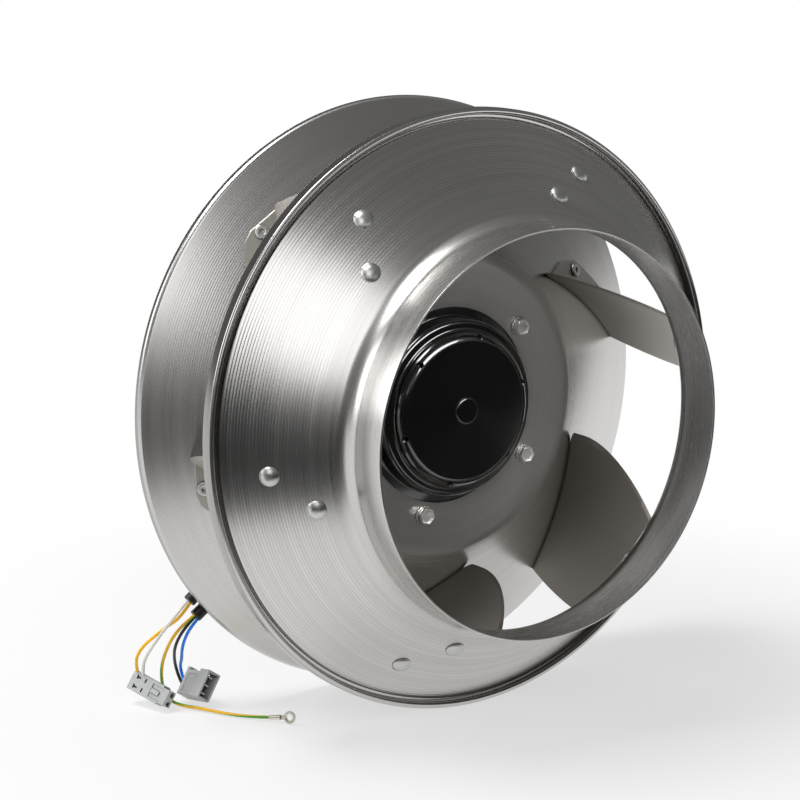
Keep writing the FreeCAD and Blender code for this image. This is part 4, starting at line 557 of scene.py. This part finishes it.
def copies(piece, places):
    """Copies of one modelled piece at the places, joined into one object under the piece's name."""
    made = []
    for place in places:
        twin = piece.copy()
        twin.data = piece.data.copy()
        bpy.context.scene.collection.objects.link(twin)
        settle(twin, place)
        made.append(twin)
    name = piece.name
    bpy.data.objects.remove(piece)
    deselect()
    for twin in made:
        twin.select_set(True)
    bpy.context.view_layer.objects.active = made[0]
    bpy.ops.object.join()
    made[0].name = name
    return made[0]


def dress(piece, material, body, slot, *nodes):
    """Give a finished piece its material and body, and hide the CAD nodes that it stands for. The slot
    is not used.
    """
    piece.data.materials.clear()
    piece.data.materials.append(material)
    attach(piece, body)
    if nodes:
        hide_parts(*nodes)
    return piece


COPY_MERGE = 1e-5
COPY_SHARP = math.radians(40)
COPY_SMOOTH = math.radians(32)


def dressed_copy(node, material, body, slot, edge):
    """The solid's own mesh, joined up and shaded, with every sharp edge broken a little."""
    source = frame["nodes"][node]
    piece = bpy.data.objects.new(f"{node}_dressed", source.data.copy())
    bpy.context.scene.collection.objects.link(piece)
    settle(piece, source.matrix_world.copy())
    bpy.ops.object.mode_set(mode="EDIT")
    bpy.ops.mesh.select_all(action="SELECT")
    bpy.ops.mesh.remove_doubles(threshold=COPY_MERGE)
    bpy.ops.object.mode_set(mode="OBJECT")
    broken = piece.modifiers.new("broken_edges", "BEVEL")
    broken.width = edge * MM
    broken.segments = 2
    broken.limit_method = "ANGLE"
    broken.angle_limit = COPY_SHARP
    bpy.ops.object.modifier_apply(modifier="broken_edges")
    bpy.ops.object.shade_smooth_by_angle(angle=COPY_SMOOTH)
    flats = piece.modifiers.new("flat_faces", "WEIGHTED_NORMAL")
    flats.keep_sharp = True
    bpy.ops.object.modifier_apply(modifier="flat_faces")
    return dress(piece, material, body, slot, node)


# Cones

def make_shroud(material):
    """The inlet cone with its neck, throat, open groove and rolled lip."""
    inner_neck = NECK_RADIUS - SHEET
    cone_inside = MOUTH_RADIUS - SHEET
    groove_wall = GROOVE_OUT + SHEET
    inner_lip = LIP_RADIUS - SHEET
    shroud = turned("shroud_spinning", [
        (NECK_RADIUS, NECK_RIM, CUT_EDGE),
        (NECK_RADIUS, shroud_front(NECK_RADIUS), THROAT_ROUND),
        (MOUTH_RADIUS, MOUTH_STATION, MOUTH_ROUND),
        (MOUTH_RADIUS, GROOVE_FLOOR, GROOVE_ROUND),
        (GROOVE_OUT, GROOVE_FLOOR, GROOVE_ROUND),
        (GROOVE_OUT, LIP_CREST, LIP_ROUND),
        (LIP_RADIUS, LIP_CREST, LIP_ROUND),
        (LIP_RADIUS, LIP_EDGE, TRIMMED_EDGE),
        (inner_lip, LIP_EDGE, TRIMMED_EDGE),
        (inner_lip, LIP_CREST - SHEET, LIP_ROUND - SHEET),
        (groove_wall, LIP_CREST - SHEET, LIP_ROUND - SHEET),
        (groove_wall, GROOVE_FLOOR - SHEET, GROOVE_ROUND * 2),
        (cone_inside, GROOVE_FLOOR - SHEET, GROOVE_ROUND * 2),
        (cone_inside, shroud_back(cone_inside), 1),
        (inner_neck, shroud_back(inner_neck), THROAT_ROUND + SHEET),
        (inner_neck, NECK_RIM, CUT_EDGE),
    ])
    dress(shroud, material, "impeller", "spun_aluminium", "inlet_shroud")


def make_disc(material):
    """The back plate: a flat ring round the hub, a cone, and a rim turned back."""
    kink_back = KINK_RADIUS - (HUB_STATION - disc_back(KINK_RADIUS) - SHEET) / DISC_SLOPE
    inner_rim = DISC_RADIUS - SHEET
    disc = turned("disc_spinning", [
        (HUB_HOLE, HUB_STATION, CUT_EDGE),
        (KINK_RADIUS, HUB_STATION, KINK_ROUND),
        (DISC_RADIUS, disc_front(DISC_RADIUS), RIM_ROUND),
        (DISC_RADIUS, RIM_EDGE, TRIMMED_EDGE),
        (inner_rim, RIM_EDGE, TRIMMED_EDGE),
        (inner_rim, disc_back(inner_rim), RIM_ROUND - SHEET),
        (kink_back, HUB_STATION - SHEET, KINK_ROUND - SHEET),
        (HUB_HOLE, HUB_STATION - SHEET, CUT_EDGE),
    ])
    dress(disc, material, "impeller", "spun_aluminium", "rear_disc")


# Rivets: radius and bearing of the two that hold the first blade to each cone

BLADES = 6
BLADE_STEP = 360 / BLADES
RIVETS_FRONT = [(150.6, 14.4), (170, 5.6)]
RIVETS_REAR = [(145.4, 31.3), (168, 14.5)]
RIVET_GRIP = 3.4
HEAD_RADIUS = 6.4
HEAD_RISE = 3.4
SHANK_RADIUS = 3
TAIL_RADIUS = 4.75
TAIL_RISE = 1.6
TAIL_BORE = 1.7
TAIL_BORE_DEPTH = 2.1


def rivet_places(spots, station, lean, flip):
    return [perch(radius, bearing - blade * BLADE_STEP, station(radius), lean, flip)
            for blade in range(BLADES) for radius, bearing in spots]


def make_rivets(material):
    """Pressed domed heads over their sheet, and the clinched hollow tails under the tabs."""
    for name, node, spots, station, lean, flip in (
            ("shroud_rivet_heads", "shroud_rivets", RIVETS_FRONT, shroud_front, SHROUD_LEAN, False),
            ("disc_rivet_heads", "disc_rivets", RIVETS_REAR, disc_back, DISC_LEAN, True)):
        tail = -RIVET_GRIP - TAIL_RISE
        rivet = turned(name, [
            (0, HEAD_RISE),
            (2.6, 3.15, 6),
            (5.2, 1.9, 5),
            (HEAD_RADIUS, 0.5, 0.4),
            (HEAD_RADIUS - 0.1, 0.1, 0.15),
            (SHANK_RADIUS, 0.1),
            (SHANK_RADIUS, -RIVET_GRIP),
            (TAIL_RADIUS, -RIVET_GRIP, 0.3),
            (TAIL_RADIUS, tail, 0.7),
            (TAIL_BORE, tail, 0.5),
            (TAIL_BORE, tail + TAIL_BORE_DEPTH),
            (0, tail + TAIL_BORE_DEPTH),
        ], steps=48, closed=False, segments=6)
        heads = copies(rivet, rivet_places(spots, station, lean, flip))
        dress(heads, material, "impeller", "rivet_aluminium", node)


# Blades: the arc of the first one

BLADE_ARC = 310.2
BLADE_REACH = 2
ARC_CENTRE_OUT = 206.8
ARC_CENTRE_BEARING = -100.9
ROLLED_SHARE = 0.97
BLADE_EDGE = 0.3


def make_blade(number, material):
    """A rolled sheet blade with its riveted tabs. The sheet is shaded as the true arc that the
    rollers gave it, because the solid's own facets would show as bands."""
    blade = dressed_copy(f"blade_{number}", material, "impeller", "blade_aluminium", BLADE_EDGE)
    bearing = math.radians(ARC_CENTRE_BEARING - (number - 1) * BLADE_STEP)
    middle = Vector((math.cos(bearing), 0, math.sin(bearing))) * ARC_CENTRE_OUT * MM
    mesh = blade.data
    normals = [corner.vector.copy() for corner in mesh.corner_normals]
    for face in mesh.polygons:
        for corner in face.loop_indices:
            spot = mesh.vertices[mesh.loops[corner].vertex_index].co - middle
            across = Vector((spot.x, 0, spot.z))
            side = across.normalized().dot(face.normal)
            on_arc = abs(across.length - BLADE_ARC * MM) < BLADE_REACH * MM
            if on_arc and abs(side) > ROLLED_SHARE:
                normals[corner] = across.normalized() * math.copysign(1, side)
    mesh.normals_split_custom_set(normals)


# Hub screws and washers

SCREW_CIRCLE = 75.2
SCREW_BEARING = 39.1
SCREWS = 5
SCREW_FLATS = 10
SCREW_HEAD = 4.4
SCREW_EDGE = 0.25
RECESS_LIP = 0.9
RECESS_SLOPE = 0.5
RECESS_DEPTH = 1.1
WASHER_TEETH = 14
WASHER_SHEET = 1.6
WASHER_HOLE = 3.3
WASHER_RADIUS = 6.8
TOOTH_ROOT = 0.86


def make_screws(material):
    """Hexagon heads with a round recess, on top of their washers."""
    screw = axial_cylinder("hub_screws", 6, SCREW_FLATS / math.sqrt(3), SCREW_HEAD, SCREW_HEAD / 2)
    bpy.ops.object.mode_set(mode="EDIT")
    bpy.ops.mesh.select_all(action="DESELECT")
    bpy.ops.object.mode_set(mode="OBJECT")
    for face in screw.data.polygons:
        face.select = face.normal.dot(FORWARD) > 0.9
    bpy.ops.object.mode_set(mode="EDIT")
    bpy.ops.mesh.select_mode(type="FACE")
    bpy.ops.mesh.inset(thickness=RECESS_LIP * MM, depth=0)
    bpy.ops.mesh.inset(thickness=RECESS_SLOPE * MM, depth=-RECESS_DEPTH * MM)
    bpy.ops.object.mode_set(mode="OBJECT")
    rounding = screw.modifiers.new("edges", "BEVEL")
    rounding.width = SCREW_EDGE * MM
    rounding.segments = 2
    bpy.ops.object.modifier_apply(modifier="edges")
    bpy.ops.object.shade_smooth_by_angle(angle=SMOOTH_ANGLE)
    places = circle_places(SCREWS, SCREW_CIRCLE, SCREW_BEARING, HUB_STATION + WASHER_SHEET)
    return dress(copies(screw, places), material, "impeller", "zinc_steel", "hub_bolts")


def at_tooth_root(spot):
    """Every second outer point of the washer, which is pulled in between two teeth."""
    step = round(math.atan2(spot.z, spot.x) * WASHER_TEETH / math.pi)
    return step % 2 == 0 and math.hypot(spot.x, spot.z) > (WASHER_HOLE + WASHER_RADIUS) / 2 * MM


def make_washers(material):
    """Flat washers with teeth round their edge."""
    ring = turned("hub_screw_washers", [
        (WASHER_HOLE, 0),
        (WASHER_RADIUS, 0, 0.2),
        (WASHER_RADIUS, WASHER_SHEET, 0.3),
        (WASHER_HOLE, WASHER_SHEET),
    ], steps=WASHER_TEETH * 2, segments=4)
    bpy.ops.object.mode_set(mode="EDIT")
    bpy.ops.mesh.select_mode(type="VERT")
    pick_points(ring, at_tooth_root)
    bpy.ops.transform.resize(value=(TOOTH_ROOT, 1, TOOTH_ROOT), center_override=(0, 0, 0))
    bpy.ops.object.mode_set(mode="OBJECT")
    places = circle_places(SCREWS, SCREW_CIRCLE, SCREW_BEARING, HUB_STATION)
    return dress(copies(ring, places), material, "impeller", "zinc_steel", "hub_washers")


# Rotor

FACE_STATION = 100
FACE_RADIUS = 52
FACE_ROUND = 6.4
BOSS_RADIUS = 9
BOSS_RISE = 1.4
STEP_STATION = 91
CUP_RADIUS = 59.5
CUP_WALL = 3
CUP_MOUTH = 34
FLANGE_RADIUS = 84
FLANGE_SHEET = 2
DIMPLES = 6
DIMPLE_CIRCLE = 49.6
DIMPLE_BEARING = 16
DIMPLE_RADIUS = 2
DIMPLE_DEPTH = 3.2


def make_rotor(material):
    """Deep-drawn cup in gloss black: raised face, centre boss and six small blind holes."""
    flange_front = HUB_STATION - SHEET
    flange_back = flange_front - FLANGE_SHEET
    cup_inside = CUP_RADIUS - CUP_WALL
    rotor = turned("rotor_shell", [
        (0, FACE_STATION + BOSS_RISE),
        (BOSS_RADIUS, FACE_STATION + BOSS_RISE, 1.3),
        (BOSS_RADIUS, FACE_STATION, 0.1),
        (FACE_RADIUS, FACE_STATION, FACE_ROUND),
        (FACE_RADIUS, STEP_STATION, 2.2),
        (CUP_RADIUS, STEP_STATION, 3),
        (CUP_RADIUS, flange_front, 1.2),
        (FLANGE_RADIUS, flange_front, 0.4),
        (FLANGE_RADIUS, flange_back, 0.4),
        (CUP_RADIUS, flange_back, 0.8),
        (CUP_RADIUS, CUP_MOUTH, 0.6),
        (cup_inside, CUP_MOUTH, 0.6),
        (cup_inside, STEP_STATION - CUP_WALL),
        (FACE_RADIUS - CUP_WALL, STEP_STATION - CUP_WALL),
        (FACE_RADIUS - CUP_WALL, FACE_STATION - CUP_WALL),
        (0, FACE_STATION - CUP_WALL),
    ], closed=False)
    drill = axial_cylinder("dimple_drills", 32, DIMPLE_RADIUS, DIMPLE_DEPTH * 2, 0)
    drills = copies(drill, circle_places(DIMPLES, DIMPLE_CIRCLE, DIMPLE_BEARING, FACE_STATION))
    make_active(rotor)
    cut = rotor.modifiers.new("dimples", "BOOLEAN")
    cut.operation = "DIFFERENCE"
    cut.object = drills
    cut.solver = "EXACT"
    bpy.ops.object.modifier_apply(modifier="dimples")
    bpy.data.objects.remove(drills)
    make_active(rotor)
    bpy.ops.object.shade_smooth_by_angle(angle=SMOOTH_ANGLE)
    return dress(rotor, material, "impeller", "black_enamel", "rotor_cup")


# Cables and conductors: the same points as the part's own routes, in millimetres

ROUTES = {
    "control_cable": [(-47.8, -9, -30.3), (-75.2, -9, -53.7), (-96.7, -8, -74.7), (-117, -6.6, -93.9),
                      (-134.6, -5.4, -108.8), (-150.7, -5, -121.5)],
    "power_cable": [(-37.4, -9, -42.4), (-64.8, -9, -65.8), (-86.7, -8, -86.4), (-107.8, -6.6, -104.7),
                    (-127, -5.4, -119.2), (-145.9, -5, -132.9)],
    "white_core": [(-158.5, -4.8, -126.2), (-163.4, -4.4, -131.3), (-169.4, -2.5, -138.7),
                   (-174.5, 1.5, -146.8), (-178.7, 6.5, -156.3), (-181.8, 11.5, -165),
                   (-182.4, 15.5, -172.4), (-180.8, 18, -180.4)],
    "yellow_core": [(-156.7, -4.8, -128.3), (-161.2, -4.4, -133.8), (-166, -2, -139.8),
                    (-172.1, 3, -145.1), (-177.5, 8.5, -151.8), (-182.4, 13.5, -158.1),
                    (-185.3, 17.5, -165.2), (-184.7, 21, -172.2), (-182.1, 23.3, -179.4)],
    "earth_core": [(-153.8, -4.8, -137.4), (-161.2, -4.2, -142.1), (-167.3, -0.5, -150.3),
                   (-169.6, 6, -161.3), (-169.6, 12.5, -173.3), (-167.9, 16.5, -184.6),
                   (-166.9, 14.5, -193.8), (-166.1, 6, -198.4), (-163.1, -5, -198.8),
                   (-157.6, -14, -198.8), (-152.3, -26, -198.8), (-146.1, -39, -198.8),
                   (-137.6, -50.5, -198.7), (-130.1, -61, -197.6)],
    "black_core": [(-152.5, -3.2, -139.1), (-158.9, -2.8, -144.6), (-162.5, 2, -153.6),
                   (-161, 10, -163), (-157.2, 17.5, -171.5), (-153.5, 22.4, -179.6),
                   (-151.4, 21.8, -187.4), (-151.4, 16.6, -192), (-152.6, 10, -191.4)],
    "blue_core": [(-151.4, -4.8, -140.5), (-157, -4, -146.3), (-157.9, 2, -155.3),
                  (-155.4, 10, -165), (-151.3, 17.5, -173.5), (-148.4, 25.3, -181),
                  (-147.4, 23.8, -188.9), (-148.2, 16.9, -193), (-149.8, 9.8, -190.6)],
}
SHEATH = 7.6
CORE = 2.2
CONTROL_PLUG = ("control_connector", "control_contacts")
POWER_PLUG = ("power_connector", "power_contacts")

# Each cord: diameter, length, slot, kind of far end, and the loose pieces that move with its ends
CORDS = {
    "control_cable": (SHEATH, 137.7, "black_sheath", "fitting", ("control_sleeve", "control_gland")),
    "power_cable": (SHEATH, 141.5, "black_sheath", "fitting", ("power_sleeve", "power_gland")),
    "white_core": (CORE, 66, "white_insulation", "connector", CONTROL_PLUG),
    "yellow_core": (CORE, 68.5, "yellow_insulation", "connector", CONTROL_PLUG),
    "earth_core": (CORE, 152.9, "earth_insulation", "fitting", ("earth_lug",)),
    "black_core": (CORE, 74.2, "black_insulation", "connector", POWER_PLUG),
    "blue_core": (CORE, 76.9, "blue_insulation", "connector", POWER_PLUG),
}

# Each end piece and the motor's pot: slot and width of the broken edges
DRESSED = {
    "stator_pot": ("cast_aluminium", 0.4),
    "control_connector": ("grey_plastic", 0.25),
    "power_connector": ("grey_plastic", 0.25),
    "earth_lug": ("tinned_brass", 0.1),
    "control_gland": ("black_plastic", 0.3),
    "power_gland": ("black_plastic", 0.3),
    "control_sleeve": ("black_sheath", 0.3),
    "power_sleeve": ("black_sheath", 0.3),
}


def lay_cord(node, material, slot, diameter):
    """One smooth line through the route's points, with the cord's round section along it."""
    points = [Vector(point) * MM for point in ROUTES[node]]
    line = bpy.data.curves.new(f"{node}_line", "CURVE")
    line.dimensions = "3D"
    line.bevel_depth = diameter * MM / 2
    line.bevel_resolution = 5
    line.resolution_u = 10
    line.use_fill_caps = True
    spline = line.splines.new("NURBS")
    spline.points.add(len(points) - 1)
    for made, point in zip(spline.points, points):
        made.co = (*point, 1)
    spline.order_u = 3
    spline.use_endpoint_u = True
    cord = bpy.data.objects.new(f"{node}_line", line)
    bpy.context.scene.collection.objects.link(cord)
    dress(cord, material, "stator", slot, node)


def lay_cords(finishes):
    """Lay each cord along its route."""
    for node, (diameter, length, slot, far_end, moved) in CORDS.items():
        lay_cord(node, finishes[slot], slot, diameter)


# Surroundings, in metres

FLOOR_HEIGHT = -0.2009
FLOOR_SIZE = 60
SHADOW_TO = 0.22
WHITE_FROM = 0.55
TABLE_WHITE = 0.6
SKY_GREY = "#6E6E6E"
CURTAIN_RADIUS = 0.45
CURTAIN_HEIGHT = 0.26
CURTAIN_SPAN = (200, 358)
CURTAIN_STEPS = 40


def white_table():
    """A matt white table top. Seen directly or in a reflection it is part plain white, and wholly so
    further out than the shadow."""
    material, tree, shader = new_material("white_table")
    place = add_node(tree, "ShaderNodeTexCoord", {}, {}).outputs["Object"]
    distance = add_node(tree, "ShaderNodeVectorMath", {"operation": "LENGTH"}, {0: place})
    away = add_node(tree, "ShaderNodeMapRange", {"interpolation_type": "SMOOTHSTEP"},
                    {"Value": distance.outputs["Value"], "From Min": SHADOW_TO,
                     "From Max": WHITE_FROM, "To Min": TABLE_WHITE})
    path = add_node(tree, "ShaderNodeLightPath", {}, {}).outputs
    seen = add_node(tree, "ShaderNodeMath", {"operation": "MAXIMUM"},
                    {0: path["Is Camera Ray"], 1: path["Is Glossy Ray"]})
    shown = add_node(tree, "ShaderNodeMath", {"operation": "MAXIMUM"},
                     {0: seen, 1: path["Is Transmission Ray"]})
    share = add_node(tree, "ShaderNodeMath", {"operation": "MULTIPLY"}, {0: shown, 1: away})
    feed(tree, shader, {"Base Color": colour("#F4F4F4"), "Roughness": 0.7, "Specular IOR Level": 0.1})
    white = add_node(tree, "ShaderNodeEmission", {}, {"Color": colour("#FFFFFF"), "Strength": 1.0})
    both = add_node(tree, "ShaderNodeMixShader", {}, {0: share, 1: shader, 2: white})
    feed(tree, tree.nodes["Material Output"], {"Surface": both})
    return material


def lay_floor():
    """A white table top that keeps the wheel's shadow and runs out to plain white."""
    deselect()
    bpy.ops.mesh.primitive_plane_add(size=FLOOR_SIZE, location=(0, 0, FLOOR_HEIGHT))
    floor = bpy.context.object
    floor.name = "floor"
    floor.data.materials.append(white_table())


def set_sky():
    """An even, dim studio."""
    world = bpy.data.worlds.new("studio")
    bpy.context.scene.world = world
    world.use_nodes = True
    feed(world.node_tree, world.node_tree.nodes["Background"], {"Color": colour(SKY_GREY)})


def hang_curtain():
    """A low dark curtain in front of the table, seen only in reflections: it gives the bright metal
    its dark sectors and keeps the motor's face black."""
    start, stop = (math.radians(angle) for angle in CURTAIN_SPAN)
    bend = [start + (stop - start) * step / CURTAIN_STEPS for step in range(CURTAIN_STEPS + 1)]
    hem = [Vector((math.cos(angle) * CURTAIN_RADIUS, math.sin(angle) * CURTAIN_RADIUS, FLOOR_HEIGHT))
           for angle in bend]
    curtain = draw_wire("studio_curtain", hem, False)
    bpy.ops.mesh.select_all(action="SELECT")
    bpy.ops.mesh.extrude_edges_move(TRANSFORM_OT_translate={"value": (0, 0, CURTAIN_HEIGHT)})
    finish_mesh(curtain)
    # Felt: matt and nearly black
    curtain.data.materials.append(plain_material("dark_felt", "#1C1C1C", 0.0, 0.9, 3, 0.1))
    curtain.visible_camera = False
    curtain.visible_shadow = False
    curtain.visible_diffuse = False
    curtain.visible_transmission = False


def colour_plain_nodes(finishes):
    """The CAD nodes that nothing replaces wear the finish of their slot."""
    for entry in frame["record"]["subparts"]:
        finish = finishes.get(entry["material_slot"])
        node = frame["nodes"][entry["node"]]
        if finish and not node.hide_render:
            node.data.materials.clear()
            node.data.materials.append(finish)


def build():
    set_camera()
    finishes = make_finishes()
    make_shroud(shroud_aluminium())
    make_disc(disc_aluminium())
    make_rivets(finishes["rivet_aluminium"])
    screws = make_screws(finishes["zinc_steel"])
    washers = make_washers(finishes["zinc_steel"])
    for number in range(1, BLADES + 1):
        make_blade(number, finishes["blade_aluminium"])
    rotor = make_rotor(finishes["black_enamel"])
    dressed = {node: dressed_copy(node, finishes[slot], "stator", slot, edge)
               for node, (slot, edge) in DRESSED.items()}
    lay_cords(finishes)
    colour_plain_nodes(finishes)
    lay_floor()
    hang_curtain()
    set_sky()
    set_lamps([rotor, screws, washers])
    bpy.context.scene.view_settings.view_transform = "Standard"


build()
